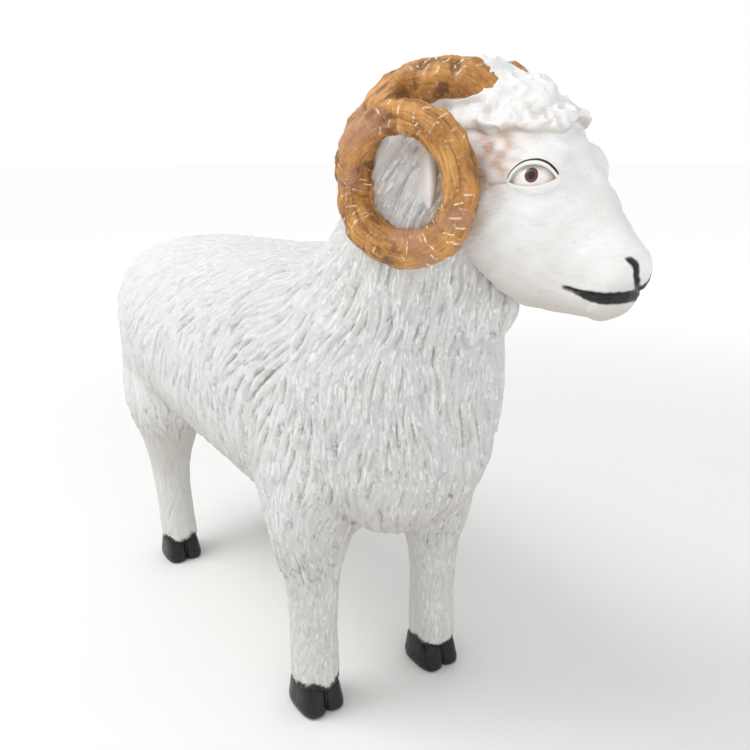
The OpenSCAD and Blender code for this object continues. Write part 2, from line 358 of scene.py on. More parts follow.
def walk(field, flow, start, length, steps, rng, bend):
    """Paths over a surface. From its start each path goes on in equal steps along the flow, turned by
    an angle of its own and by a slow wave, and every new point settles on the surface. Gives the
    points, directions and normals, each with steps + 1 rows for a path."""
    turn = rng.normal(0, 0.55, len(start)) * bend
    wave, phase = rng.uniform(0.2, 1.0, len(start)) * bend, rng.uniform(0, 2 * np.pi, len(start))
    p, rows = start, []
    for i in range(steps + 1):
        n = slope(field, p)
        d = flow(p, n)
        d = unit(d - n * (d * n).sum(1, keepdims=True))
        d = spun(d, n, turn + wave * np.sin(phase + i * 5.0 / steps))
        rows.append((p, d, n))
        p = settle(field, p + d * (length / steps)[:, None], 1)
    return [np.stack(r) for r in zip(*rows)]


def packed(c):
    """One number for each cube of a grid, from its three whole numbers."""
    return (c[:, 0] * 4096 + c[:, 1]) * 4096 + c[:, 2]


def comb(points, path, length, width, height, base, leaf=False):
    """Lays locks of wool on a surface. A lock runs along each path: its outline widens from the root
    as sqrt(5u) and narrows to a point as (1 - u)^0.6, or is a leaf of sin(pi u)^0.8, and its height
    across is sqrt(1 - t^2), rising from root to tip. Where locks overlap the highest one shows.
    Gives for each point the height, and the lock's number with the distances along and across it."""
    spots, ways, normals = path
    steps = len(spots) - 1
    pace = length / steps
    cell = max(float(width.max()) / 2, float(pace.max()) * 0.62) * 1.02
    low = np.minimum(points.min(0), spots.reshape(-1, 3).min(0)) - 2 * cell
    mine = np.floor((points - low) / cell).astype(np.int64)
    theirs = packed(np.floor((spots.reshape(-1, 3) - low) / cell).astype(np.int64))
    order = np.argsort(theirs, kind="stable")
    theirs = theirs[order]
    best = np.full(len(points), -1e9)
    which = np.full(len(points), -1)
    where = np.zeros((len(points), 2))
    flat = [a.reshape(-1, 3) for a in (spots, ways, np.cross(normals, ways))]
    for shift in itertools.product((-1, 0, 1), repeat=3):
        key = packed(mine + np.array(shift))
        first = np.searchsorted(theirs, key, "left")
        count = np.searchsorted(theirs, key, "right") - first
        busy = np.flatnonzero(count)
        if not len(busy):
            continue
        count, first = count[busy], first[busy]
        p = np.repeat(busy, count)
        begin = np.cumsum(count) - count
        spot = order[np.arange(count.sum()) - np.repeat(begin - first, count)]
        d = points[p] - flat[0][spot]
        along = (d * flat[1][spot]).sum(1)
        lock = spot % len(length)
        u = (spot // len(length) + along / pace[lock]) / steps
        keep = (np.abs(along) < pace[lock] * 0.6) & (u > 0) & (u < 1)
        p, lock, u, spot, d = p[keep], lock[keep], u[keep], spot[keep], d[keep]
        across = (d * flat[2][spot]).sum(1)
        outline = np.sin(np.pi * u) ** 0.8 if leaf else np.minimum(np.sqrt(5 * u), 1) * (1 - u) ** 0.6
        t = across / (width[lock] / 2 * outline + 1e-6)
        keep = np.abs(t) < 1
        p, lock, u, t, across = p[keep], lock[keep], u[keep], t[keep], across[keep]
        rise = 1 if leaf else 0.3 + 0.7 * smooth(0, 0.75, u)
        h = base[lock] + height[lock] * rise * np.sqrt(1 - t * t)
        top = np.full(len(points), -1e9)
        if not len(p):
            continue
        edge = np.flatnonzero(np.r_[True, p[1:] != p[:-1]])
        top[p[edge]] = np.maximum.reduceat(h, edge)
        win = (h >= top[p]) & (h > best[p])
        best[p[win]] = h[win]
        which[p[win]] = lock[win]
        where[p[win]] = np.column_stack([u[win] * length[lock[win]], across[win]])
    return best, which, where


# How far backwards the wool leans for each step down, by height on the flank.
LEAN = [(280, 0.05), (380, 0.12), (470, 0.22), (560, 0.5), (640, 0.85), (710, 1.15), (760, 1.25)]


def wool_flow(p, n):
    """Which way the wool lies: down, leaning back the higher it is on the flank, nearly straight down
    on the chest, parted along the spine, and turned a little by two slow waves."""
    lean = curve(LEAN, p[:, 2])[:, 0]
    neck = smooth(190, 290, p[:, 0]) * smooth(600, 700, p[:, 2])
    lean = lean * (1 - 0.75 * smooth(190, 330, p[:, 0]) * (1 - neck)) * (1 - neck) + 0.55 * neck
    part = 0.4 * np.clip(p[:, 1] / 50, -1, 1) * smooth(0.3, 0.9, n[:, 2])
    d = np.column_stack([-lean, part, -np.ones(len(p))])
    d = unit(d - n * (d * n).sum(1, keepdims=True))
    return spun(d, n, 0.16 * wander(p, 190, 3) + 0.12 * wander(p, 75, 4))


def thickness(p):
    """How far the fleece stands off the bare shape under it: it thins out above the front
    knees and down the thighs."""
    front = 3.0 * smooth(HEM["front"] - 45, HEM["front"] + 45, p[:, 2])
    hind = 3.0 * smooth(HEM["hind"] - 50, HEM["hind"] + 90, p[:, 2])
    return np.where(p[:, 0] > -60, front, hind)


def fleece(p, rng):
    """Relief of the fleece and the legs over the bare shape: big locks, fine strands on top of them,
    and narrow slits between. Gives the height in millimetres and, for the brush marks, the distance
    across and along the lock that shows and a random number for it."""
    start = p[scatter(p, 16.0, rng)]
    n = slope(coat_field, start)
    count = len(start)
    z, x = start[:, 2], start[:, 0]
    shank = 1 - smooth(265, 375, z + np.where(x > -60, 0, -55))
    chest = smooth(40, 220, x) * smooth(300, 360, z) * (1 - smooth(680, 760, z))
    top = smooth(0.3, 0.8, n[:, 2])
    size = rng.uniform(0.55, 1.3, count)
    width = (17 + 6 * chest - 4 * top - 8 * shank) * size ** 0.5
    length = (104 + 26 * chest - 66 * shank) * rng.uniform(0.7, 1.3, count)
    near_hem = 1 - smooth(330, 480, z + np.where(x > -60, 0, -20))
    length = length * (1 - 0.5 * near_hem * (1 - shank))
    height = (4.6 + 2.4 * chest - 1.6 * top - 3.8 * shank) * size * (1 - 0.3 * near_hem)
    path = walk(coat_field, wool_flow, start, length, 9, rng, 0.15)
    clump, which, where = comb(p, path, length, width, height, thickness(start))
    clump = np.maximum(clump, thickness(p))

    start = p[scatter(p, 8.5, rng)]
    count = len(start)
    shank = 1 - smooth(255, 320, start[:, 2])
    fine_l = rng.uniform(34, 84, count) * (1 - 0.45 * shank)
    fine_w = rng.uniform(4.5, 8, count)
    path = walk(coat_field, wool_flow, start, fine_l, 6, rng, 0.13)
    fine_h = rng.uniform(0.6, 1.7, count)
    strand, fine_which, fine_where = comb(p, path, fine_l, fine_w, fine_h, np.zeros(count))
    strand = np.maximum(strand, 0)

    start = p[scatter(p, 30.0, rng)]
    start = start[rng.random(len(start)) < 0.6]
    count = len(start)
    slit_l = rng.uniform(26, 62, count)
    deep = rng.uniform(1.0, 3.4, count) * (1 - 0.55 * (1 - smooth(255, 320, start[:, 2])))
    path = walk(coat_field, wool_flow, start, slit_l, 4, rng, 0.15)
    slit = comb(p, path, slit_l, rng.uniform(4.0, 6.5, count), deep, np.zeros(count), leaf=True)[0]
    slit = np.maximum(slit, 0)

    names = np.random.default_rng(SEED + 1).random(200000)
    use_fine = fine_which >= 0
    mark = np.where(use_fine[:, None], fine_where, where)
    name = names[np.where(use_fine, fine_which, which + 100000)]
    return clump + strand - slit, np.column_stack([mark[:, 1], mark[:, 0], name * 100])


def hollow(values, quads, rounds):
    """How far each value stands above the mean of its surroundings, taken over some rings of quads."""
    mean = values
    n = len(values)
    count = np.maximum(np.bincount(quads.ravel(), minlength=n), 1)
    for _ in range(rounds):
        middle = np.repeat(mean[quads].mean(1), 4)
        mean = np.bincount(quads.ravel(), middle, minlength=n) / count
    return values - mean


def sweep(centre, radius, flat=None, across=None, sides=40):
    """A closed tube along a path of points. Each ring is a circle of the path's radius there, or an
    ellipse flattened along across, and both ends are closed by a fan. Gives the points and faces, and
    for each point how far round and how far along the tube it is, in millimetres."""
    way = unit(np.gradient(centre, axis=0))
    across = np.broadcast_to((0.0, 0.0, 1.0) if across is None else across, centre.shape)
    side = unit(np.cross(way, across))
    up = np.cross(side, way)
    a = np.linspace(0, 2 * np.pi, sides, endpoint=False)
    flat = np.ones(len(centre)) if flat is None else flat
    ring = side[:, None] * np.cos(a)[:, None] + up[:, None] * (np.sin(a)[:, None] * flat[:, None, None])
    p = (centre[:, None] + ring * radius[:, None, None]).reshape(-1, 3)
    i, j = np.meshgrid(np.arange(len(centre) - 1), np.arange(sides), indexing="ij")
    k = (j + 1) % sides
    near, far = i * sides, (i + 1) * sides
    quads = np.stack([near + j, far + j, far + k, near + k], -1).reshape(-1, 4)
    run = np.r_[0, np.cumsum(np.linalg.norm(np.diff(centre, axis=0), axis=1))]
    uv = np.stack(np.broadcast_arrays(a * 25.0, run[:, None]), -1).reshape(-1, 2)
    n = len(p)
    j = np.arange(sides)
    last = n - sides
    fans = np.concatenate([np.column_stack([j, (j + 1) % sides, np.full(sides, n)]),
                           np.column_stack([last + (j + 1) % sides, last + j, np.full(sides, n + 1)])])
    p = np.concatenate([p, centre[:1], centre[-1:]])
    uv = np.concatenate([uv, [[0, run[0]], [0, run[-1]]]])
    return p, quads, fans, uv


COIL = np.array([453.0, -102.0, 875.0])
COIL_R, COIL_FLARE = 86.0, np.radians(16)
ROOT_ANGLE, TIP_ANGLE = np.radians(52), np.radians(544)


def horn_path(t):
    """The right horn's middle line, for t from 0 at the root to 1 at the tip: a circle of the coil's
    radius, which opens towards the root by 470 (t + 0.06) (1 - t / 0.31)^3, closes a little towards
    the tip, and stands in against the skull at the root and out from the face at the tip."""
    out = -60 * (1 - np.minimum(t / 0.36, 1)) ** 1.1 + 30 * smooth(0.3, 1, t)
    r = COIL_R + 470 * (t + 0.06) * (1 - np.minimum(t / 0.31, 1)) ** 3 - 17 * smooth(0, 1, t)
    a = ROOT_ANGLE + (TIP_ANGLE - ROOT_ANGLE) * t
    along = r * np.cos(a)
    c, f = np.cos(COIL_FLARE), np.sin(COIL_FLARE)
    return COIL + np.column_stack([along * c + out * f, along * f - out * c, r * np.sin(a)])


def horn(side):
    """A horn: a tube along the coil, thinning as (1 - t)^0.7 to a blunt tip, with worn growth rings,
    shallow lengthwise flutes and hand-made lumps on it."""
    t = np.linspace(0, 1, 620)
    radius = 17 + 11 * (1 - t) ** 0.7
    radius = radius * np.sqrt(np.maximum(0.1, 1 - np.maximum(0, (t - 0.965) / 0.037) ** 2))
    flare = np.array([np.sin(COIL_FLARE), -np.cos(COIL_FLARE), 0])
    p, quads, fans, uv = sweep(horn_path(t), radius, across=flare, sides=96)
    centre = np.concatenate([np.repeat(horn_path(t), 96, 0), horn_path(t[[0, -1]])])
    n = unit(p - centre + 1e-9)
    run = uv[:, 1]
    ridge = np.sin(run / 12 * np.pi + 2.4 * wander(p, 50, 11)) ** 2
    bump = 1.8 * wander(p, 60, 12) + 1.3 * wander(p, 26, 13) + 0.7 * (ridge - 0.5)
    bump -= 1.6 * np.abs(wander(p, 34, 16)) + 0.6 * np.maximum(wander(p, 12, 15) - 0.6, 0)
    bump += 0.35 * np.sin(uv[:, 0] / 25 * 9 + 3 * wander(p, 70, 14))
    fade = np.r_[np.repeat(1 - smooth(0.985, 1.0, t), 96), 0, 0]
    p = p + n * (bump * fade)[:, None]
    relief = bump + 0.3 * (ridge - 0.5)
    if side > 0:
        p = p * (1, -1, 1)
        quads, fans = quads[:, ::-1], fans[:, ::-1]
    return turned(p), quads, fans, np.column_stack([uv, relief])


# Ear: x, y, z and half width of the right ear down its middle line.
EAR = [(438, -60, 936, 12), (452, -80, 926, 17), (466, -93, 902, 20),
       (478, -99, 872, 17), (486, -100, 846, 6)]


def ear(side):
    """An ear: a flattened tube down its middle line, drawn to a rounded point, with its front hollowed
    and its back edge rolled."""
    knots = np.array([(i, *row) for i, row in enumerate(EAR)], float)
    t = np.linspace(0, 1, 90)
    rows = curve(knots, t * (len(EAR) - 1))
    radius = rows[:, 3] * np.sqrt(np.clip((1 - np.abs(2 * t - 1) ** 6), 0.004, 1))
    across = np.array([np.sin(np.radians(-20)), -np.cos(np.radians(-20)), 0.25])
    p, quads, fans, uv = sweep(rows[:, :3], radius, flat=np.full(90, 0.62), across=unit(across), sides=48)
    a = np.r_[np.tile(np.linspace(0, 2 * np.pi, 48, endpoint=False), 90), 0, 0]
    face = np.maximum(np.sin(a), 0) ** 2 * np.r_[np.repeat(np.sin(np.pi * t), 48), 0, 0]
    p = p - face[:, None] * unit(across) * 6.0
    if side > 0:
        p = p * (1, -1, 1)
        quads, fans = quads[:, ::-1], fans[:, ::-1]
    return turned(p), quads, fans, np.column_stack([uv, face])


# Hoof: height, half length and half width, from the sole up to where it ends inside the leg.
HOOF = [(0, 42, 39), (10, 43, 40), (26, 41, 38), (46, 37.5, 34.5), (60, 32, 29), (80, 25, 23)]


def hoof_field(p):
    """A cloven hoof about its own foot: two claws side by side that flare down to a rounded sole and
    part in front and behind, joined under the leg."""
    rows = curve([(z, a, b) for z, a, b in HOOF], p[:, 2])
    a, b = rows[:, 0], rows[:, 1] / 2
    ahead = 5 * (1 - np.clip(p[:, 2], 0, 70) / 70)
    f = None
    for side in (-1, 1):
        x = (p[:, 0] - ahead) / a
        y = (p[:, 1] - side * (b - 2.4)) / (b + 2.2)
        claw = ((np.abs(x) ** 2.7 + np.abs(y) ** 2.7) ** (1 / 2.7) - 1) * 20
        f = claw if f is None else join(f, claw, 2.0)
    f = join(f, ellipsoid(p, (-2, 0, 58), (30, 28, 34)), 10)
    sole = -join(-f, p[:, 2] - 0.0, 9)
    return -join(-sole, -(p[:, 2] - 80), 8)


# Tail: z, then x, half thickness and half width, from the root down.
TAIL = [(480, -514, 12, 20), (502, -516, 15, 25), (548, -524, 19, 31), (594, -518, 20, 33),
        (632, -500, 18, 30), (655, -486, 12, 22)]


def tail_field(p):
    """The docked tail against the rump: an upright tube of ellipses."""
    rows = [(z, x, 0, a, b) for z, x, a, b in TAIL]
    return tube(p, (0, 0, 0), (0, 0, 1), (1, 0, 0), rows, (22, 20), 2.0)


def lid_ring(side):
    """The two eyelids as one closed ring round the slit: a roll whose inner edge lies on the eyeball
    and whose outer edge sinks into the face. Also gives how far across and along the ring a point is."""
    th = np.linspace(0, 2 * np.pi, 192, endpoint=False)
    a = EYE_HALF * np.cos(th)
    upper, lower = lid_edges(a)
    edge = np.column_stack([a, np.where(np.sin(th) > 0, upper, lower)])
    edge = edge * (1.02, 1.0)
    ahead, behind = np.roll(edge, -1, 0), np.roll(edge, 1, 0)
    out = unit(np.column_stack([(ahead - behind)[:, 1], -(ahead - behind)[:, 0]]))
    for _ in range(10):
        out = unit(out + np.roll(out, 1, 0) + np.roll(out, -1, 0))
    wide = 3.2 + 4.6 * np.clip(np.sin(th), 0, 1) ** 0.6 + 5.0 * np.clip(-np.sin(th), 0, 1) ** 0.7
    s = np.linspace(0, 1, 15)
    base = edge[:, None] + out[:, None] * (wide[:, None] * s)[:, :, None]
    flat = base.reshape(-1, 2)
    n = np.full(len(flat), 12.0)

    def stood_off(n):
        """The points of the ring at the distances n outwards, in the head's frame."""
        return EYE + flat[:, :1] * EYE_ALONG + flat[:, 1:] * EYE_UP + n[:, None] * EYE_OUT

    for _ in range(12):
        n = n - np.clip(face_field(stood_off(n)), -4, 4) * 0.9
    s_flat = np.tile(s, len(th))
    roll = 1.6 * np.sin(np.pi * s_flat) ** 0.8 + 1.0 * (1 - s_flat) - 0.9 * s_flat ** 3
    top = stood_off(n + roll).reshape(len(th), 15, 3)
    low = stood_off(n + roll - 3.5 - 2 * (1 - s_flat)).reshape(len(th), 15, 3)[:, ::-1]
    p = np.concatenate([top, low[:, 1:-1]], 1)
    m = p.shape[1]
    i, j = np.meshgrid(np.arange(len(th)), np.arange(m), indexing="ij")
    i2, j2 = (i + 1) % len(th), (j + 1) % m
    quads = np.stack([i * m + j, i2 * m + j, i2 * m + j2, i * m + j2], -1).reshape(-1, 4)
    spread = np.r_[s, s[1:-1][::-1]]
    mark = np.stack(np.broadcast_arrays(spread[None, :], th[:, None], np.sin(th)[:, None]), -1).reshape(-1, 3)
    p = p.reshape(-1, 3)
    if side < 0:
        p = p * (1, -1, 1)
        quads = quads[:, ::-1]
    return turned(p), quads, mark


def eyeball(side):
    """An eyeball: an ellipsoid in the eye's own directions. Also gives each point's place in the eye's
    frame, which the painted iris follows."""
    lat = np.linspace(0, np.pi, 49)
    lon = np.linspace(0, 2 * np.pi, 96, endpoint=False)
    sl, cl = np.sin(lat)[:, None], np.cos(lat)[:, None]
    local = np.stack([sl * np.cos(lon), sl * np.sin(lon), cl + 0 * lon], -1)[1:-1].reshape(-1, 3)
    local = np.concatenate([local, [[0, 0, 1], [0, 0, -1]]]) * BALL_RADII + BALL_CENTRE
    m, rings = len(lon), len(lat) - 2
    i, j = np.meshgrid(np.arange(rings - 1), np.arange(m), indexing="ij")
    k = (j + 1) % m
    quads = np.stack([i * m + j, (i + 1) * m + j, (i + 1) * m + k, i * m + k], -1).reshape(-1, 4)
    j = np.arange(m)
    n = rings * m
    fans = np.concatenate([np.column_stack([j, (j + 1) % m, np.full(m, n)]),
                           np.column_stack([n - m + (j + 1) % m, n - m + j, np.full(m, n + 1)])])
    p = EYE + local[:, :1] * EYE_ALONG + local[:, 1:2] * EYE_UP + local[:, 2:] * EYE_OUT
    if np.dot(np.cross(EYE_ALONG, EYE_UP), EYE_OUT) < 0:
        quads, fans = quads[:, ::-1], fans[:, ::-1]
    if side < 0:
        p = p * (1, -1, 1)
        quads, fans = quads[:, ::-1], fans[:, ::-1]
    return turned(p), quads, fans, local


def from_line(p, line, drop):
    """Distance to a smooth line through a few points, seen along the axis numbered drop."""
    keep = [k for k in range(3) if k != drop]
    knots = np.array([(i, *point) for i, point in enumerate(line)], float)
    fine = curve(knots, np.linspace(0, len(line) - 1, 12 * len(line)))[:, keep]
    return np.sqrt(((p[:, None, keep] - fine) ** 2).sum(2)).min(1)


MOUTH = [(630, 0, 768), (650, 0, 764), (668, 0, 762), (684, 0, 762), (698, 0, 764), (708, 0, 767)]
NOSTRIL = [(0, 20, 802), (0, 17, 796), (0, 15.5, 786), (0, 11, 776), (0, 4, 771), (0, 0, 769)]
CORNER = [(0, 0, 0), (-8, 0, -3.5), (-16, 0, -5), (-26, 0, -4)]


def head_detail(p, n):
    """Relief and paint of the head. Gives the height of the brushed coat, the folds, the mouth and the
    nostrils in millimetres, then how black and how tan the paint is and how much painted shade it has."""
    q = mirrored(p)
    e = eye_frame(q)
    rng = np.random.default_rng(SEED + 2)
    front = smooth(640, 690, q[:, 0])
    mouth = from_line(q, MOUTH, 1)
    lip = np.exp(-(mouth / 2.6) ** 2) * smooth(628, 640, q[:, 0])
    nose = from_line(q, NOSTRIL, 0)
    slit = np.exp(-(nose / 2.4) ** 2) * smooth(684, 694, q[:, 0])
    corner = from_line(e - (-EYE_HALF, 0, 0), CORNER, 2)
    crease = np.exp(-(corner / 1.6) ** 2) * smooth(-16, -6, e[:, 2])
    over = p[:, 2] - forelock_edge(p)
    cap = smooth(0, 10, over)
    face = (1 - cap) * (1 - np.exp(-(np.linalg.norm(e / (1, 0.8, 2), axis=1) / 30) ** 4))
    start = p[scatter(p, 6.5, rng)]
    count = len(start)
    path = walk(skull_field, face_flow, start, rng.uniform(14, 30, count), 3, rng, 0.25)
    fur = np.maximum(comb(p, path, rng.uniform(14, 30, count), rng.uniform(3.0, 6.0, count),
                          rng.uniform(0.2, 0.65, count), np.zeros(count))[0], 0)
    start = p[scatter(p, 15.0, rng)]
    start = start[start[:, 2] > 920]
    count = len(start)
    length = rng.uniform(34, 58, count)
    path = walk(crown_field, crown_flow, start, length, 5, rng, 0.5)
    lock = np.maximum(comb(p, path, length, rng.uniform(18, 32, count), rng.uniform(1.8, 4.2, count),
                           np.zeros(count))[0], 0)
    folds = 1.1 * wander(p * (1, 1, 1.6), 34, 21) + 0.55 * wander(p * (0.6, 1, 1.5), 19, 29)
    folds = folds * smooth(500, 560, q[:, 0])
    folds = folds * (1 - 0.7 * front)
    curls = 5.0 * np.maximum(0, 1 - np.abs(wander(p * (1, 1, 1.5), 44, 27))) ** 1.5 + 1.0 * wander(p, 26, 28)
    height = face * (fur + folds) + cap * (0.55 * lock + curls + 0.6 * fur - 3.0)
    height = height - 2.6 * lip - 2.2 * slit - 1.3 * crease
    ragged = 1.1 * wander(p, 7, 22)
    below = q[:, 2] - np.interp(q[:, 0], [m[0] for m in MOUTH], [m[2] for m in MOUTH])
    thick = 1.6 + 5.0 * smooth(640, 668, q[:, 0])
    black = (1 - smooth(thick - 1, thick + 1.6, mouth + 0.25 * ragged + 1.8 * np.clip(below / 4, -1, 1)))
    black = black * smooth(629, 634, q[:, 0])
    black = np.maximum(black, (1 - smooth(2.4, 4.8, nose + 0.4 * ragged)) * smooth(686, 693, q[:, 0]))
    temple = np.exp(-(((q[:, 0] - 545) / 26) ** 2 + ((q[:, 2] - 905) / 38) ** 2))
    tan = np.clip(temple * (1 - cap) * (0.8 + 0.4 * wander(p, 16, 23)), 0, 1)
    tan = np.maximum(tan, cap * np.clip(0.9 - over / 60, 0, 1) * smooth(0.2, 1.1, -wander(p, 14, 24)) * 0.7)
    # Painted shade in the crease at the eye's rear corner and on faces that turn downwards, as under the jaw.
    shade = np.maximum(0.8 * crease, smooth(0.1, -0.75, n[:, 2]) * 0.8)
    return height, black, tan, shade


def face_flow(p, n):
    """Which way the face's short coat lies: back from the nose and a little down."""
    return np.broadcast_to((-1.0, 0.0, -0.25), p.shape)


def crown_flow(p, n):
    """Which way the forelock lies: outwards and down from the top of the skull."""
    return unit(p - (505, 0, 1000)) + (0.2, 0, -0.4)


# --- pieces
def colour(code):
    """An sRGB hex colour as linear red, green, blue and alpha."""
    c = np.array([int(code[i:i + 2], 16) for i in (1, 3, 5)]) / 255
    c = np.where(c <= 0.04045, c / 12.92, ((c + 0.055) / 1.055) ** 2.4)
    return (*c, 1.0)


# Settings that many shader nodes share: an eased range, a product and a mix of colours.
EASED = {"interpolation_type": "SMOOTHSTEP"}
TIMES = {"operation": "MULTIPLY"}
COLOURS = {"data_type": "RGBA"}


def add(tree, kind, inputs=(), out=0, **settings):
    """Adds a shader node with its settings and gives its output out. Each input takes a value, or is
    linked from another node's output."""
    made = tree.nodes.new("ShaderNode" + kind)
    for name, value in settings.items():
        setattr(made, name, value)
    for name, value in dict(inputs).items():
        if isinstance(value, bpy.types.NodeSocket):
            tree.links.new(value, made.inputs[name])
        else:
            made.inputs[name].default_value = value
    return made.outputs[out]


def finish(name, **sockets):
    """A new material with one Principled shader, whose sockets are set to the given values."""
    material = bpy.data.materials.new(name)
    material.use_nodes = True
    tree = material.node_tree
    shader = tree.nodes["Principled BSDF"]
    for key, value in sockets.items():
        shader.inputs[key.replace("_", " ")].default_value = value
    return material, tree, shader


def white_paint(name, white, wash, strength, hoof=False):
    """White wall paint brushed over a beige wash on moulded resin: satin, with the wash in soft patches and
    fine brush marks along each lock. The hollows are beige, partly the wash left there and partly painted
    shade; painted shade also makes the undersides and the parts low down beige and the deepest slits
    grey, so the raised wool is whitest. A leg is sprayed glossy black above its hoof."""
    material, tree, shader = finish(name, Roughness=0.62, IOR=1.5)
    spot = add(tree, "TexCoord", out="Object")
    strand = add(tree, "Attribute", out="Vector", attribute_name="strand")
    across, along, own = add(tree, "SeparateXYZ", {0: strand}).node.outputs
    paint = add(tree, "Attribute", out="Vector", attribute_name="paint")
    relief, low, black = add(tree, "SeparateXYZ", {0: paint}).node.outputs
    # Brush marks are about 2 mm apart across a lock and run on for some 40 mm.
    stretched = add(tree, "CombineXYZ", {
        0: add(tree, "Math", {0: across, 1: 0.42}, **TIMES),
        1: add(tree, "Math", {0: along, 1: 0.025}, **TIMES), 2: own})
    marks = add(tree, "TexNoise", {0: stretched, 2: 1.0, 3: 4.0, 4: 0.6})
    patches = add(tree, "TexNoise", {0: spot, 2: 14.0, 3: 4.0, 4: 0.55})
    grain = add(tree, "TexNoise", {0: spot, 2: 260.0, 3: 3.0, 4: 0.55})
    # Beige in the hollows: partly the wash left there and partly painted shade.
    deep = add(tree, "MapRange", {0: relief, 1: 0.1, 2: -2.6}, **EASED)
    wash_and_shade = add(tree, "Math", {
        0: deep,
        1: add(tree, "MapRange", {0: patches, 1: 0.3, 2: 0.62, 3: 0.35, 4: 1.0}, **EASED)}, **TIMES)
    wash_and_shade = add(tree, "Math", {0: wash_and_shade, 1: strength}, **TIMES)
    worn = add(tree, "Math", {
        0: add(tree, "MapRange", {0: marks, 1: 0.52, 2: 0.75}, **EASED),
        1: add(tree, "MapRange", {0: patches, 1: 0.42, 2: 0.7, 3: 0.05, 4: 0.45}, **EASED)}, **TIMES)
    # Painted shade on the undersides and low down (low) adds to the beige of the brush marks.
    wash_and_shade = add(tree, "Math", {
        0: wash_and_shade, 1: add(tree, "Math", {0: worn, 1: low}, operation="ADD")}, operation="MAXIMUM")
    base = add(tree, "Mix", {0: wash_and_shade, 6: colour(white), 7: colour(wash)}, 2, **COLOURS)
    # Painted shade: grey in the deepest slits between the locks.
    slit_shade = add(tree, "Math", {
        0: add(tree, "MapRange", {0: relief, 1: -2.0, 2: -4.6}, **EASED), 1: 0.6}, **TIMES)
    base = add(tree, "Mix", {0: slit_shade, 6: base, 7: colour("#92887D")}, 2, **COLOURS)
    cool = add(tree, "Math", {
        0: add(tree, "MapRange", {
            0: add(tree, "TexNoise", {0: spot, 2: 8.0, 3: 2.0, 4: 0.55}), 1: 0.45, 2: 0.65}, **EASED),
        1: 0.35}, **TIMES)
    base = add(tree, "Mix", {
        0: cool, 6: base,
        7: add(tree, "Mix", {0: 0.5, 6: base, 7: colour("#E6ECEF")}, 2, **COLOURS)}, 2, **COLOURS)
    base = add(tree, "Mix", {
        0: add(tree, "Math", {
            0: add(tree, "MapRange", {0: grain, 1: 0.66, 2: 0.8}, **EASED), 1: 0.12}, **TIMES),
        6: base, 7: colour(wash)}, 2, **COLOURS)
    base = add(tree, "Mix", {0: black, 6: base, 7: colour("#0B0A0A")}, 2, **COLOURS)
    tree.links.new(base, shader.inputs["Base Color"])
    rough = add(tree, "MapRange", {0: marks, 1: 0.3, 2: 0.7, 3: 0.55, 4: 0.7}, **EASED)
    if hoof:
        rough = add(tree, "MapRange", {0: black, 1: 0.2, 2: 0.9, 3: 0.62, 4: 0.3}, **EASED)
    tree.links.new(rough, shader.inputs["Roughness"])
    height = add(tree, "Math", {
        0: add(tree, "Math", {0: marks, 1: 0.85}, **TIMES),
        1: add(tree, "Math", {0: grain, 1: 0.15}, **TIMES)}, operation="ADD")
    bump = add(tree, "Bump", {"Height": height, "Strength": 0.9, "Distance": 0.0016})
    tree.links.new(bump, shader.inputs["Normal"])
    return material


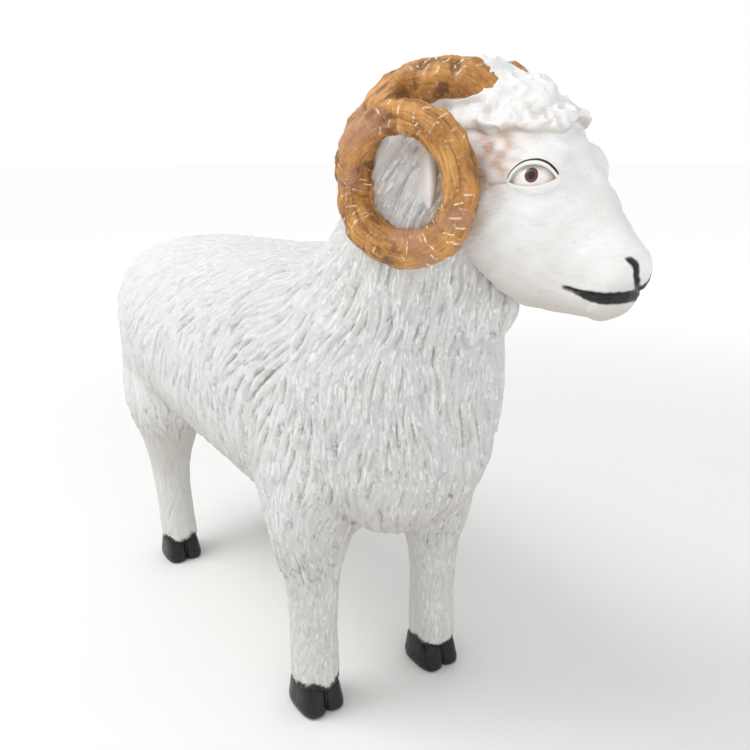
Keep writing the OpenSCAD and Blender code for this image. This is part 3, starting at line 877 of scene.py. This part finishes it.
def face_paint():
    """White wall paint thinned over beige on the face: smoother than the fleece, with brush marks that
    sweep back from the nose, tan wash at the temples, sprayed black lips and nostrils, and painted shade
    in the hollows of the relief, in the crease at the eye's rear corner and under the jaw."""
    material, tree, shader = finish("white_paint_on_smooth_resin", Roughness=0.58, IOR=1.5)
    spot = add(tree, "TexCoord", out="Object")
    paint = add(tree, "Attribute", out="Vector", attribute_name="paint")
    black, tan, shade = add(tree, "SeparateXYZ", {0: paint}).node.outputs
    strand = add(tree, "Attribute", out="Vector", attribute_name="strand")
    relief = add(tree, "SeparateXYZ", {0: strand})
    # Brush marks are about 2 mm wide and 25 mm long, along the face.
    turned_spot = add(tree, "Mapping", {0: spot, 2: (0, 0.5, 0.14), 3: (45, 420, 420)})
    marks = add(tree, "TexNoise", {0: turned_spot, 2: 1.0, 3: 4.0, 4: 0.6})
    patches = add(tree, "TexNoise", {0: spot, 2: 22.0, 3: 4.0, 4: 0.55})
    grain = add(tree, "TexNoise", {0: spot, 2: 420.0, 3: 2.0, 4: 0.55})
    base = add(tree, "Mix", {
        0: add(tree, "MapRange", {0: patches, 1: 0.35, 2: 0.68, 3: 0.0, 4: 0.35}, **EASED),
        6: colour("#F0F2F3"), 7: colour("#DAD5CC")}, 2, **COLOURS)
    base = add(tree, "Mix", {
        0: add(tree, "Math", {
            0: add(tree, "MapRange", {0: marks, 1: 0.55, 2: 0.75}, **EASED), 1: 0.3}, **TIMES),
        6: base, 7: colour("#C2B7AA")}, 2, **COLOURS)
    # Painted shade in the hollows of the face's relief.
    base = add(tree, "Mix", {
        0: add(tree, "Math", {
            0: add(tree, "MapRange", {0: relief, 1: 0.0, 2: -1.6}, **EASED), 1: 0.5}, **TIMES),
        6: base, 7: colour("#B0A598")}, 2, **COLOURS)
    # Painted shade under the jaw and in the eye's corner crease.
    base = add(tree, "Mix", {
        0: add(tree, "Math", {0: shade, 1: 0.75}, **TIMES), 6: base, 7: colour("#B3A595")}, 2, **COLOURS)
    base = add(tree, "Mix", {
        0: add(tree, "Math", {
            0: tan,
            1: add(tree, "MapRange", {0: marks, 1: 0.3, 2: 0.6, 3: 0.65, 4: 1.0}, **EASED)}, **TIMES),
        6: base, 7: colour("#C9A286")}, 2, **COLOURS)
    specks = add(tree, "MapRange", {
        0: add(tree, "TexVoronoi", {0: spot, 2: 70.0}), 1: 0.06, 2: 0.035}, **EASED)
    base = add(tree, "Mix", {
        0: add(tree, "Math", {0: specks, 1: 0.5}, **TIMES), 6: base, 7: colour("#6E655C")}, 2, **COLOURS)
    base = add(tree, "Mix", {0: black, 6: base, 7: colour("#0C0B0B")}, 2, **COLOURS)
    tree.links.new(base, shader.inputs["Base Color"])
    rough = add(tree, "MapRange", {0: black, 1: 0.2, 2: 0.9, 3: 0.58, 4: 0.34}, **EASED)
    tree.links.new(rough, shader.inputs["Roughness"])
    height = add(tree, "Math", {
        0: add(tree, "Math", {0: marks, 1: 0.8}, **TIMES),
        1: add(tree, "Math", {0: grain, 1: 0.2}, **TIMES)}, operation="ADD")
    bump = add(tree, "Bump", {"Height": height, "Strength": 0.6, "Distance": 0.0008})
    tree.links.new(bump, shader.inputs["Normal"])
    return material


def lid_paint():
    """The same white on the eyelids, with painted shade along the rim against the eyeball and a fine black
    line painted in the fold above the eye.
    """
    material, tree, shader = finish("white_paint_with_lash_line", Roughness=0.55, IOR=1.5)
    spot = add(tree, "TexCoord", out="Object")
    paint = add(tree, "Attribute", out="Vector", attribute_name="paint")
    across, _, high = add(tree, "SeparateXYZ", {0: paint}).node.outputs
    patches = add(tree, "TexNoise", {0: spot, 2: 60.0, 3: 3.0, 4: 0.55})
    base = add(tree, "Mix", {
        0: add(tree, "MapRange", {0: patches, 1: 0.4, 2: 0.7, 3: 0.0, 4: 0.4}, **EASED),
        6: colour("#EFEFEC"), 7: colour("#CFC8BB")}, 2, **COLOURS)
    # Painted shade along the lid's rim where it meets the eyeball.
    inner = add(tree, "MapRange", {0: across, 1: 0.12, 2: 0.0}, **EASED)
    base = add(tree, "Mix", {
        0: add(tree, "Math", {0: inner, 1: 0.55}, **TIMES), 6: base, 7: colour("#8F8A7E")}, 2, **COLOURS)
    wobble = add(tree, "Math", {
        0: add(tree, "TexNoise", {0: spot, 2: 160.0, 3: 2.0, 4: 0.55}), 1: 0.12}, **TIMES)
    line = add(tree, "Math", {0: across, 1: wobble}, operation="ADD")
    ink = add(tree, "Math", {
        0: add(tree, "MapRange", {0: line, 1: 0.58, 2: 0.64}, **EASED),
        1: add(tree, "MapRange", {0: line, 1: 0.98, 2: 0.92}, **EASED)}, **TIMES)
    ink = add(tree, "Math", {
        0: ink, 1: add(tree, "MapRange", {0: high, 1: 0.18, 2: 0.35}, **EASED)}, **TIMES)
    base = add(tree, "Mix", {0: ink, 6: base, 7: colour("#15120F")}, 2, **COLOURS)
    tree.links.new(base, shader.inputs["Base Color"])
    bump = add(tree, "Bump", {"Height": patches, "Strength": 0.3, "Distance": 0.0004})
    tree.links.new(bump, shader.inputs["Normal"])
    return material


def eye_paint():
    """Gloss enamel eyes: ivory whites with painted shade, olive under the upper lid and grey-beige at the
    outer corner, pink at the inner corner, a dark red iris with a soft edge and a black pupil. Distances
    are millimetres."""
    material, tree, shader = finish("gloss_enamel_eye", Roughness=0.24, IOR=1.5, Coat_Weight=0.6)
    place = add(tree, "Attribute", out="Vector", attribute_name="place")
    along, up, _ = add(tree, "SeparateXYZ", {0: place}).node.outputs
    spot = add(tree, "TexCoord", out="Object")
    centre = add(tree, "VectorMath", {0: place, 1: (-0.5, 5.2, 0)}, operation="SUBTRACT")
    flat = add(tree, "VectorMath", {0: centre, 1: (1, 0.94, 0)}, operation="MULTIPLY")
    from_middle = add(tree, "VectorMath", {0: flat}, out="Value", operation="LENGTH")
    wobble = add(tree, "Math", {
        0: add(tree, "TexNoise", {0: spot, 2: 300.0, 3: 2.0, 4: 0.55}), 1: 0.9}, **TIMES)
    ring = add(tree, "Math", {0: from_middle, 1: wobble}, operation="ADD")
    base = add(tree, "Mix", {
        0: add(tree, "MapRange", {
            0: add(tree, "TexNoise", {0: spot, 2: 120.0, 3: 3.0, 4: 0.55}), 1: 0.4, 2: 0.7, 3: 0.0,
            4: 0.5}, **EASED), 6: colour("#F3F0EA"), 7: colour("#DDD5C9")}, 2, **COLOURS)
    # Painted shade: olive under the upper lid.
    base = add(tree, "Mix", {
        0: add(tree, "MapRange", {0: up, 1: 10.0, 2: 15.0, 3: 0.0, 4: 0.4}, **EASED), 6: base,
        7: colour("#8E8A78")}, 2, **COLOURS)
    base = add(tree, "Mix", {
        0: add(tree, "MapRange", {0: along, 1: 12.0, 2: 24.0, 3: 0.0, 4: 0.7}, **EASED), 6: base,
        7: colour("#B08F7E")}, 2, **COLOURS)
    # Painted shade: grey-beige at the outer corner.
    base = add(tree, "Mix", {
        0: add(tree, "MapRange", {0: along, 1: -14.0, 2: -25.0, 3: 0.0, 4: 0.6}, **EASED), 6: base,
        7: colour("#A79A86")}, 2, **COLOURS)
    base = add(tree, "Mix", {
        0: add(tree, "MapRange", {0: ring, 1: 8.4, 2: 7.6}, **EASED), 6: base,
        7: colour("#642A31")}, 2, **COLOURS)
    base = add(tree, "Mix", {
        0: add(tree, "MapRange", {0: ring, 1: 5.0, 2: 4.2}, **EASED), 6: base,
        7: colour("#0C0809")}, 2, **COLOURS)
    tree.links.new(base, shader.inputs["Base Color"])
    return material


def horn_paint():
    """Ochre and brown paint, brushed round cast horns and scratched with cream: dark in the grooves,
    orange on the flanks, rosy patches, and short dry strokes of cream across the growth rings."""
    material, tree, shader = finish("ochre_paint_dry_brushed_cream", Roughness=0.5, IOR=1.5)
    spot = add(tree, "TexCoord", out="Object")
    place = add(tree, "Attribute", out="Vector", attribute_name="place")
    round_it, along, relief = add(tree, "SeparateXYZ", {0: place}).node.outputs
    hairs = add(tree, "CombineXYZ", {
        0: add(tree, "Math", {0: round_it, 1: 0.42}, **TIMES),
        1: add(tree, "Math", {0: along, 1: 0.03}, **TIMES)})
    bands = add(tree, "CombineXYZ", {
        0: add(tree, "Math", {0: round_it, 1: 0.11}, **TIMES),
        1: add(tree, "Math", {0: along, 1: 0.011}, **TIMES)})
    sweeps = add(tree, "TexNoise", {0: bands, 2: 1.0, 3: 5.0, 4: 0.62})
    streaks = add(tree, "TexNoise", {0: hairs, 2: 1.0, 3: 5.0, 4: 0.65})
    rings = add(tree, "CombineXYZ", {
        0: add(tree, "Math", {0: round_it, 1: 0.05}, **TIMES),
        1: add(tree, "Math", {0: along, 1: 0.42}, **TIMES)})
    strokes = add(tree, "TexNoise", {0: rings, 2: 1.0, 3: 4.0, 4: 0.6})
    blotches = add(tree, "TexNoise", {0: spot, 2: 26.0, 3: 5.0, 4: 0.6})
    fine = add(tree, "TexNoise", {0: spot, 2: 240.0, 3: 4.0, 4: 0.65})
    base = add(tree, "Mix", {
        0: add(tree, "MapRange", {0: blotches, 1: 0.34, 2: 0.62}, **EASED), 6: colour("#A0682C"),
        7: colour("#CC9048")}, 2, **COLOURS)
    base = add(tree, "Mix", {
        0: add(tree, "MapRange", {0: sweeps, 1: 0.48, 2: 0.34, 3: 0.0, 4: 0.85}, **EASED), 6: base,
        7: colour("#80501F")}, 2, **COLOURS)
    base = add(tree, "Mix", {
        0: add(tree, "MapRange", {0: sweeps, 1: 0.55, 2: 0.68, 3: 0.0, 4: 0.7}, **EASED), 6: base,
        7: colour("#DDAE68")}, 2, **COLOURS)
    base = add(tree, "Mix", {
        0: add(tree, "MapRange", {0: streaks, 1: 0.53, 2: 0.7, 3: 0.0, 4: 0.6}, **EASED), 6: base,
        7: colour("#DDB47A")}, 2, **COLOURS)
    base = add(tree, "Mix", {
        0: add(tree, "MapRange", {0: streaks, 1: 0.46, 2: 0.34, 3: 0.0, 4: 0.65}, **EASED), 6: base,
        7: colour("#6E421C")}, 2, **COLOURS)
    rosy = add(tree, "Math", {
        0: add(tree, "MapRange", {
            0: add(tree, "TexNoise", {0: spot, 2: 17.0, 3: 3.0, 4: 0.55}), 1: 0.52, 2: 0.66}, **EASED),
        1: 0.65}, **TIMES)
    base = add(tree, "Mix", {0: rosy, 6: base, 7: colour("#B5846A")}, 2, **COLOURS)
    base = add(tree, "Mix", {
        0: add(tree, "MapRange", {0: relief, 1: -1.2, 2: -4.0, 3: 0.0, 4: 0.75}, **EASED), 6: base,
        7: colour("#6A3F18")}, 2, **COLOURS)
    base = add(tree, "Mix", {
        0: add(tree, "MapRange", {0: fine, 1: 0.56, 2: 0.7, 3: 0.0, 4: 0.55}, **EASED), 6: base,
        7: colour("#E2B97C")}, 2, **COLOURS)
    cells = add(tree, "CombineXYZ", {
        0: add(tree, "Math", {0: round_it, 1: 0.045}, **TIMES),
        1: add(tree, "Math", {0: along, 1: 0.055}, **TIMES)})
    cell = add(tree, "TexVoronoi", {"Vector": cells, "Scale": 1.0, "Randomness": 1.0})
    offset = add(tree, "VectorMath", {0: cells, 1: cell.node.outputs["Position"]}, operation="SUBTRACT")
    part = add(tree, "SeparateXYZ", {0: offset})
    tilt = add(tree, "Math", {
        0: add(tree, "MapRange", {
            0: cell.node.outputs["Color"], 1: 0.2, 2: 0.8, 3: -0.45, 4: 0.45}, **EASED),
        1: part}, **TIMES)
    thin = add(tree, "Math", {
        0: add(tree, "Math", {0: part.node.outputs[1], 1: tilt}, operation="ADD")}, operation="ABSOLUTE")
    broad = add(tree, "Math", {0: part}, operation="ABSOLUTE")
    stroke = add(tree, "Math", {
        0: add(tree, "MapRange", {0: thin, 1: 0.075, 2: 0.03}, **EASED),
        1: add(tree, "MapRange", {0: broad, 1: 0.36, 2: 0.22}, **EASED)}, **TIMES)
    stroke = add(tree, "Math", {
        0: stroke, 1: add(tree, "MapRange", {0: fine, 1: 0.4, 2: 0.52}, **EASED)}, **TIMES)
    some = add(tree, "MapRange", {
        0: add(tree, "TexNoise", {0: spot, 2: 12.0, 3: 2.0, 4: 0.55}), 1: 0.42, 2: 0.62, 3: 0.0,
        4: 1.0}, **EASED)
    base = add(tree, "Mix", {
        0: add(tree, "Math", {0: stroke, 1: some}, **TIMES), 6: base, 7: colour("#F0E4CC")}, 2, **COLOURS)
    dry = add(tree, "Math", {
        0: add(tree, "MapRange", {0: strokes, 1: 0.6, 2: 0.72}, **EASED),
        1: add(tree, "MapRange", {0: relief, 1: 0.2, 2: 1.3}, **EASED)}, **TIMES)
    base = add(tree, "Mix", {
        0: add(tree, "Math", {0: dry, 1: 0.75}, **TIMES), 6: base, 7: colour("#EBDAB8")}, 2, **COLOURS)
    tree.links.new(base, shader.inputs["Base Color"])
    rough = add(tree, "MapRange", {0: streaks, 1: 0.3, 2: 0.7, 3: 0.42, 4: 0.6}, **EASED)
    tree.links.new(rough, shader.inputs["Roughness"])
    height = add(tree, "Math", {
        0: add(tree, "Math", {0: streaks, 1: 0.6}, **TIMES),
        1: add(tree, "Math", {0: fine, 1: 0.4}, **TIMES)}, operation="ADD")
    bump = add(tree, "Bump", {"Height": height, "Strength": 0.8, "Distance": 0.0014})
    tree.links.new(bump, shader.inputs["Normal"])
    return material


def hoof_paint():
    """Gloss black enamel on cast resin: brushed on thickly, scuffed dull grey where it meets the ground."""
    material, tree, shader = finish("gloss_black_enamel", Roughness=0.3, IOR=1.45, Coat_Weight=0.1)
    spot = add(tree, "TexCoord", out="Object")
    height = add(tree, "SeparateXYZ", {0: spot}, out=2)
    brush = add(tree, "TexNoise", {
        0: add(tree, "Mapping", {0: spot, 3: (300, 300, 45)}), 2: 1.0, 3: 3.0, 4: 0.55})
    dust = add(tree, "TexNoise", {0: spot, 2: 700.0, 3: 3.0, 4: 0.7})
    scuff = add(tree, "Math", {
        0: add(tree, "MapRange", {0: height, 1: 0.018, 2: 0.002}, **EASED),
        1: add(tree, "MapRange", {0: dust, 1: 0.48, 2: 0.62}, **EASED)}, **TIMES)
    base = add(tree, "Mix", {
        0: add(tree, "Math", {0: scuff, 1: 0.5}, **TIMES), 6: colour("#070607"),
        7: colour("#3C3A3B")}, 2, **COLOURS)
    base = add(tree, "Mix", {
        0: add(tree, "MapRange", {0: dust, 1: 0.66, 2: 0.74, 3: 0.0, 4: 0.35}, **EASED), 6: base,
        7: colour("#5A5856")}, 2, **COLOURS)
    tree.links.new(base, shader.inputs["Base Color"])
    rough = add(tree, "MapRange", {0: brush, 1: 0.3, 2: 0.7, 3: 0.24, 4: 0.42}, **EASED)
    tree.links.new(rough, shader.inputs["Roughness"])
    bump = add(tree, "Bump", {"Height": brush, "Strength": 0.4, "Distance": 0.0008})
    tree.links.new(bump, shader.inputs["Normal"])
    return material


def glass_laminate():
    """Bare glass-fibre tape in cured resin: straw yellow, with a woven glass cloth of 4 mm tows."""
    material, tree, shader = finish("bare_glass_laminate", Roughness=0.45, IOR=1.55)
    spot = add(tree, "TexCoord", out="Object")
    weave = add(tree, "TexChecker", {"Vector": spot, "Scale": 250.0}, out="Fac")
    resin = add(tree, "TexNoise", {0: spot, 2: 30.0, 3: 3.0, 4: 0.55})
    base = add(tree, "Mix", {
        0: add(tree, "MapRange", {0: resin, 1: 0.35, 2: 0.65}, **EASED), 6: colour("#B7A66E"),
        7: colour("#D2C591")}, 2, **COLOURS)
    base = add(tree, "Mix", {
        0: add(tree, "Math", {0: weave, 1: 0.25}, **TIMES), 6: base, 7: colour("#8F8152")}, 2, **COLOURS)
    tree.links.new(base, shader.inputs["Base Color"])
    bump = add(tree, "Bump", {"Height": weave, "Strength": 0.4, "Distance": 0.0004})
    tree.links.new(bump, shader.inputs["Normal"])
    return material


def primed_steel():
    """Mild steel bar in grey primer: matt, with rust bleeding through in spots and mill scale lines."""
    material, tree, shader = finish("grey_primed_steel_bar", Roughness=0.7, Metallic=0.0)
    spot = add(tree, "TexCoord", out="Object")
    rust = add(tree, "MapRange", {
        0: add(tree, "TexNoise", {0: spot, 2: 60.0, 3: 5.0, 4: 0.65}), 1: 0.56, 2: 0.68}, **EASED)
    base = add(tree, "Mix", {
        0: add(tree, "MapRange", {
            0: add(tree, "TexNoise", {0: spot, 2: 18.0, 3: 3.0, 4: 0.55}), 1: 0.35, 2: 0.65}, **EASED),
        6: colour("#7B7F82"), 7: colour("#6A6D70")}, 2, **COLOURS)
    base = add(tree, "Mix", {
        0: add(tree, "Math", {0: rust, 1: 0.8}, **TIMES), 6: base, 7: colour("#6B3B22")}, 2, **COLOURS)
    tree.links.new(base, shader.inputs["Base Color"])
    bump = add(tree, "Bump", {
        "Height": add(tree, "TexNoise", {0: spot, 2: 500.0, 3: 3.0, 4: 0.55}), "Strength": 0.3,
        "Distance": 0.0003})
    tree.links.new(bump, shader.inputs["Normal"])
    return material


def mesh_of(name, p, faces, attributes=()):
    """A mesh from points in millimetres from the stance and groups of faces with equally many sides."""
    mesh = bpy.data.meshes.new(name)
    mesh.vertices.add(len(p))
    mesh.vertices.foreach_set("co", (p * MM + STANCE).astype(np.float32).ravel())
    corners = np.concatenate([f.ravel() for f in faces])
    sides = np.concatenate([np.full(len(f), f.shape[1]) for f in faces])
    mesh.loops.add(len(corners))
    mesh.loops.foreach_set("vertex_index", corners.astype(np.int32))
    mesh.polygons.add(len(sides))
    mesh.polygons.foreach_set("loop_start", (np.cumsum(sides) - sides).astype(np.int32))
    mesh.update(calc_edges=True)
    mesh.polygons.foreach_set("use_smooth", np.ones(len(sides), bool))
    for key, values in dict(attributes).items():
        layer = mesh.attributes.new(key, "FLOAT_VECTOR", "POINT")
        layer.data.foreach_set("vector", values.astype(np.float32).ravel())
    mesh.validate()
    return mesh


def piece(name, mesh, material, nodes):
    """A finished piece: its object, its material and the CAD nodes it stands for."""
    made = bpy.data.objects.new(name, mesh)
    bpy.context.collection.objects.link(made)
    mesh.materials.clear()
    mesh.materials.append(material)
    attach(made, "root")
    if nodes:
        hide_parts(*nodes)
    return made


def trimmed(whole, cuts, name):
    """A closed part of a closed mesh: each cut keeps what lies ahead of a plane and closes the cut
    with a flat wall. Outer normals stay those of the whole mesh, so no seam shows."""
    bm = whole.copy()
    for point, normal in cuts:
        geometry = bm.verts[:] + bm.edges[:] + bm.faces[:]
        bmesh.ops.bisect_plane(bm, geom=geometry, plane_co=point, plane_no=normal,
                               clear_inner=True, dist=1e-6)
        rim = [e for e in bm.edges if e.is_boundary]
        walls = bmesh.ops.triangle_fill(bm, use_beauty=True, edges=rim, normal=[-c for c in normal])
        for face in [g for g in walls["geom"] if isinstance(g, bmesh.types.BMFace)]:
            face.smooth = False
            if face.normal.dot(Vector(normal)) > 0:
                face.normal_flip()
    mesh = bpy.data.meshes.new(name)
    bm.to_mesh(mesh)
    bm.free()
    outer = np.zeros(len(mesh.vertices) * 3, np.float32)
    mesh.attributes["outer"].data.foreach_get("vector", outer)
    outer = unit(outer.reshape(-1, 3).astype(float))
    corner = np.zeros(len(mesh.loops), np.int32)
    mesh.loops.foreach_get("vertex_index", corner)
    flat = np.zeros(len(mesh.polygons), bool)
    mesh.polygons.foreach_get("use_smooth", flat)
    total = np.zeros(len(mesh.polygons), np.int32)
    mesh.polygons.foreach_get("loop_total", total)
    own = np.zeros(len(mesh.polygons) * 3, np.float32)
    mesh.polygons.foreach_get("normal", own)
    own = np.repeat(own.reshape(-1, 3), total, axis=0)
    mesh.polygons.foreach_set("use_smooth", np.ones(len(mesh.polygons), bool))
    mesh.normals_split_custom_set(np.where(np.repeat(flat, total)[:, None], outer[corner], own))
    mesh.attributes.remove(mesh.attributes["outer"])
    return mesh


def make_fleece(step):
    """The combed fleece and the legs, as four quarters of the body and four lower legs. Gives the
    wool's paint."""
    rng = np.random.default_rng(SEED)
    p, quads = surface(coat_field, (-545, -240, 35), (560, 240, 960), step)
    n = slope(coat_field, p)
    height, strand = fleece(p, rng)
    p = p + n * height[:, None]
    relief = hollow(height, quads, 7)
    # Beige on faces that turn downwards below the back and on everything low down: partly painted shade and
    # partly the wash.
    low = 0.55 * smooth(0.1, -0.8, n[:, 2]) * smooth(700, 450, p[:, 2]) + 0.28 * smooth(420, 240, p[:, 2])
    sock = 60 + 5 * wander(p, 30, 31) + 1.5 * wander(p, 6, 32)
    black = 1 - smooth(sock - 3.5, sock + 4.0, p[:, 2])
    # The paint attribute holds the relief, which the material makes beige in the hollows (partly painted
    # shade), the painted shade low down, and the black sock.
    paint = np.column_stack([relief, low, black])
    mesh = mesh_of("fleece_whole", p, [quads], {"strand": strand, "paint": paint})
    outer = np.zeros(len(p) * 3, np.float32)
    mesh.vertex_normals.foreach_get("vector", outer)
    layer = mesh.attributes.new("outer", "FLOAT_VECTOR", "POINT")
    layer.data.foreach_set("vector", outer)
    whole = bmesh.new()
    whole.from_mesh(mesh)
    bpy.data.meshes.remove(mesh)
    wool = white_paint("white_paint_beige_wash_and_painted_shade", "#F2F3F2", "#C6BCB0", 0.8)
    shank = white_paint("thin_white_paint_on_legs", "#F2F3F2", "#C6BCB0", 0.8, hoof=True)
    knee = 286 * MM
    middle, split = STANCE[1], -0.02
    for side, y in (("right", -1), ("left", 1)):
        for end, x in (("rear", -1), ("fore", 1)):
            cuts = [((0, 0, knee), (0, 0, 1)), ((0, middle, 0), (0, y, 0)), ((split, 0, 0), (x, 0, 0))]
            mesh = trimmed(whole, cuts, f"fleece_{side}_{end}")
            piece(f"fleece_{side}_{end}", mesh, wool, [f"body_shell_{side}"])
            cuts = [((0, middle, 0), (0, y, 0)), ((split, 0, 0), (x, 0, 0)), ((0, 0, knee), (0, 0, -1))]
            where = "front" if end == "fore" else "hind"
            mesh = trimmed(whole, cuts, f"lower_leg_{where}_{side}")
            piece(f"lower_leg_{where}_{side}", mesh, shank, [f"leg_{where}_{side}"])
    whole.free()
    return wool


def make_head(step):
    """The head, its lids and eyeballs, the ears and the horns."""
    p, quads = surface(head_field, (430, -90, 715), (725, 90, 1010), step)
    n = slope(head_field, p)
    height, black, tan, shade = head_detail(p, n)
    p = p + n * height[:, None]
    relief = hollow(height, quads, 8)
    strand = np.column_stack([relief, relief * 0, relief * 0])
    paint = np.column_stack([black, tan, shade])
    mesh = mesh_of("painted_head", turned(p), [quads], {"paint": paint, "strand": strand})
    face = face_paint()
    piece("painted_head", mesh, face, ["head_shell"])
    lids, enamel, ochre = lid_paint(), eye_paint(), horn_paint()
    for name, side in (("right", -1), ("left", 1)):
        p, quads, mark = lid_ring(side)
        mesh = mesh_of(f"eyelids_{name}", p, [quads], {"paint": mark})
        piece(f"eyelids_{name}", mesh, lids, [])
        p, quads, fans, place = eyeball(side)
        mesh = mesh_of(f"eyeball_{name}", p, [quads, fans], {"place": place})
        piece(f"eyeball_{name}", mesh, enamel, [f"eye_{name}"])
        p, quads, fans, place = horn(side)
        mesh = mesh_of(f"curled_horn_{name}", p, [quads, fans], {"place": place})
        piece(f"curled_horn_{name}", mesh, ochre, [f"horn_{name}"])
        p, quads, fans, place = ear(side)
        # The ear's hollow front gets a little tan paint and painted shade.
        ear_tan_and_shade = np.column_stack([place[:, 2] * 0, place[:, 2] * 0.25, place[:, 2] * 0.5])
        mesh = mesh_of(f"rolled_ear_{name}", p, [quads, fans], {"paint": ear_tan_and_shade, "strand": place * 0})
        piece(f"rolled_ear_{name}", mesh, face, [f"ear_{name}"])


def make_tail(wool):
    """The docked tail, with locks combed down it."""
    rng = np.random.default_rng(SEED + 5)
    p, quads = surface(tail_field, (-560, -50, 440), (-440, 50, 690), 5.0)
    n = slope(tail_field, p)
    start = p[scatter(p, 10.0, rng)]
    count = len(start)
    length, width = rng.uniform(30, 55, count), rng.uniform(9, 16, count)
    path = walk(tail_field, wool_flow, start, length, 5, rng, 0.3)
    height, which, where = comb(p, path, length, width, rng.uniform(1.5, 3.0, count), np.zeros(count))
    height = np.maximum(height, 0)
    strand = np.column_stack([where[:, 1], where[:, 0], which * 7.3])
    relief = hollow(height, quads, 6)
    # The wool's material makes the tail's hollows beige, partly the wash and partly painted shade.
    paint = np.column_stack([relief, relief * 0, relief * 0])
    mesh = mesh_of("woolly_tail", p + n * height[:, None], [quads], {"strand": strand, "paint": paint})
    piece("woolly_tail", mesh, wool, ["tail"])


def make_hooves():
    """The four cloven hooves, one shape set under each leg."""
    p, quads = surface(hoof_field, (-56, -60, -10), (64, 60, 96), 3.4)
    enamel = hoof_paint()
    for name, (x, y) in FEET.items():
        mesh = mesh_of(f"cloven_hoof_{name}", p + (x, y, 0), [quads])
        piece(f"cloven_hoof_{name}", mesh, enamel, [f"hoof_{name}"])


# Grid steps in millimetres. A surface has quads of half its step.
FLEECE_STEP = 5.0
HEAD_STEP = 2.6
wool = make_fleece(FLEECE_STEP)
make_head(HEAD_STEP)
make_tail(wool)
make_hooves()

# The inner frame and the seam's tape are the CAD's own solids with these finishes.
laminate, steel = glass_laminate(), primed_steel()
for name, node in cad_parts.items():
    if name == "seam_tape" or name.endswith("_bar") or "_bar_" in name or name.startswith("cross_member"):
        node.data.materials.clear()
        node.data.materials.append(laminate if name == "seam_tape" else steel)


# --- stage
def make_floor():
    """A plain pale floor that glows more with distance, painted light that fades it to white far off."""
    mesh = bpy.data.meshes.new("floor")
    mesh.from_pydata([(-30, -30, 0), (30, -30, 0), (30, 30, 0), (-30, 30, 0)], [], [(0, 1, 2, 3)])
    floor = bpy.data.objects.new("floor", mesh)
    bpy.context.collection.objects.link(floor)
    material, tree, shader = finish("plain_white_floor", Roughness=0.9)
    spot = add(tree, "TexCoord", out="Object")
    base = add(tree, "Mix", {
        0: add(tree, "TexNoise", {0: spot, 2: 3.0, 3: 3.0, 4: 0.55}), 6: colour("#F6F6F5"),
        7: colour("#F9F9F8")}, 2, **COLOURS)
    tree.links.new(base, shader.inputs["Base Color"])
    # Painted light: the floor glows more the further it is from its middle.
    away = add(tree, "VectorMath", {0: spot}, out="Value", operation="LENGTH")
    shader.inputs["Emission Color"].default_value = colour("#FFFFFF")
    glow = add(tree, "MapRange", {0: away, 1: 0.9, 2: 4.0, 3: 0.0, 4: 0.32}, **EASED)
    tree.links.new(glow, shader.inputs["Emission Strength"])
    mesh.materials.append(material)


def soft_light(name, place, aim, size, power):
    """A square softbox at a place, turned to face a point."""
    data = bpy.data.lights.new(name, "AREA")
    data.size, data.energy = size, power
    light = bpy.data.objects.new(name, data)
    bpy.context.collection.objects.link(light)
    light.location = place
    light.rotation_euler = (Vector(aim) - Vector(place)).to_track_quat("-Z", "Y").to_euler()


def make_camera():
    """The camera in front of the ram's right shoulder, a little above its back."""
    azimuth, pitch = np.radians(55.8), np.radians(17.1)
    back = Vector((np.sin(azimuth) * np.cos(pitch), -np.cos(azimuth) * np.cos(pitch), np.sin(pitch)))
    data = bpy.data.cameras.new("camera")
    data.lens, data.sensor_width = 36.24, 36.0
    data.clip_start = 0.01
    camera = bpy.data.objects.new("camera", data)
    bpy.context.collection.objects.link(camera)
    camera.location = (1.119, -0.640, 0.919)
    camera.rotation_euler = (-back).to_track_quat("-Z", "Y").to_euler()
    bpy.context.scene.camera = camera


make_floor()
soft_light("key", (-0.9, -1.9, 3.4), (0.1, 0, 0.5), 2.0, 64)
soft_light("fill", (3.4, -0.6, 1.8), (0.1, 0, 0.5), 2.5, 14)
world = bpy.data.worlds.new("sky")
bpy.context.scene.world = world
world.use_nodes = True
# The sky lights the ram softly and is plain white where it is seen.
seen = add(world.node_tree, "LightPath", out="Is Camera Ray")
sky = world.node_tree.nodes["Background"]
sky.inputs[0].default_value = colour("#FFFFFF")
strength = add(world.node_tree, "MapRange", {0: seen, 1: 0.0, 2: 1.0, 3: 0.7, 4: 1.0}, **EASED)
world.node_tree.links.new(strength, sky.inputs[1])
make_camera()
bpy.context.scene.view_settings.view_transform = "Standard"
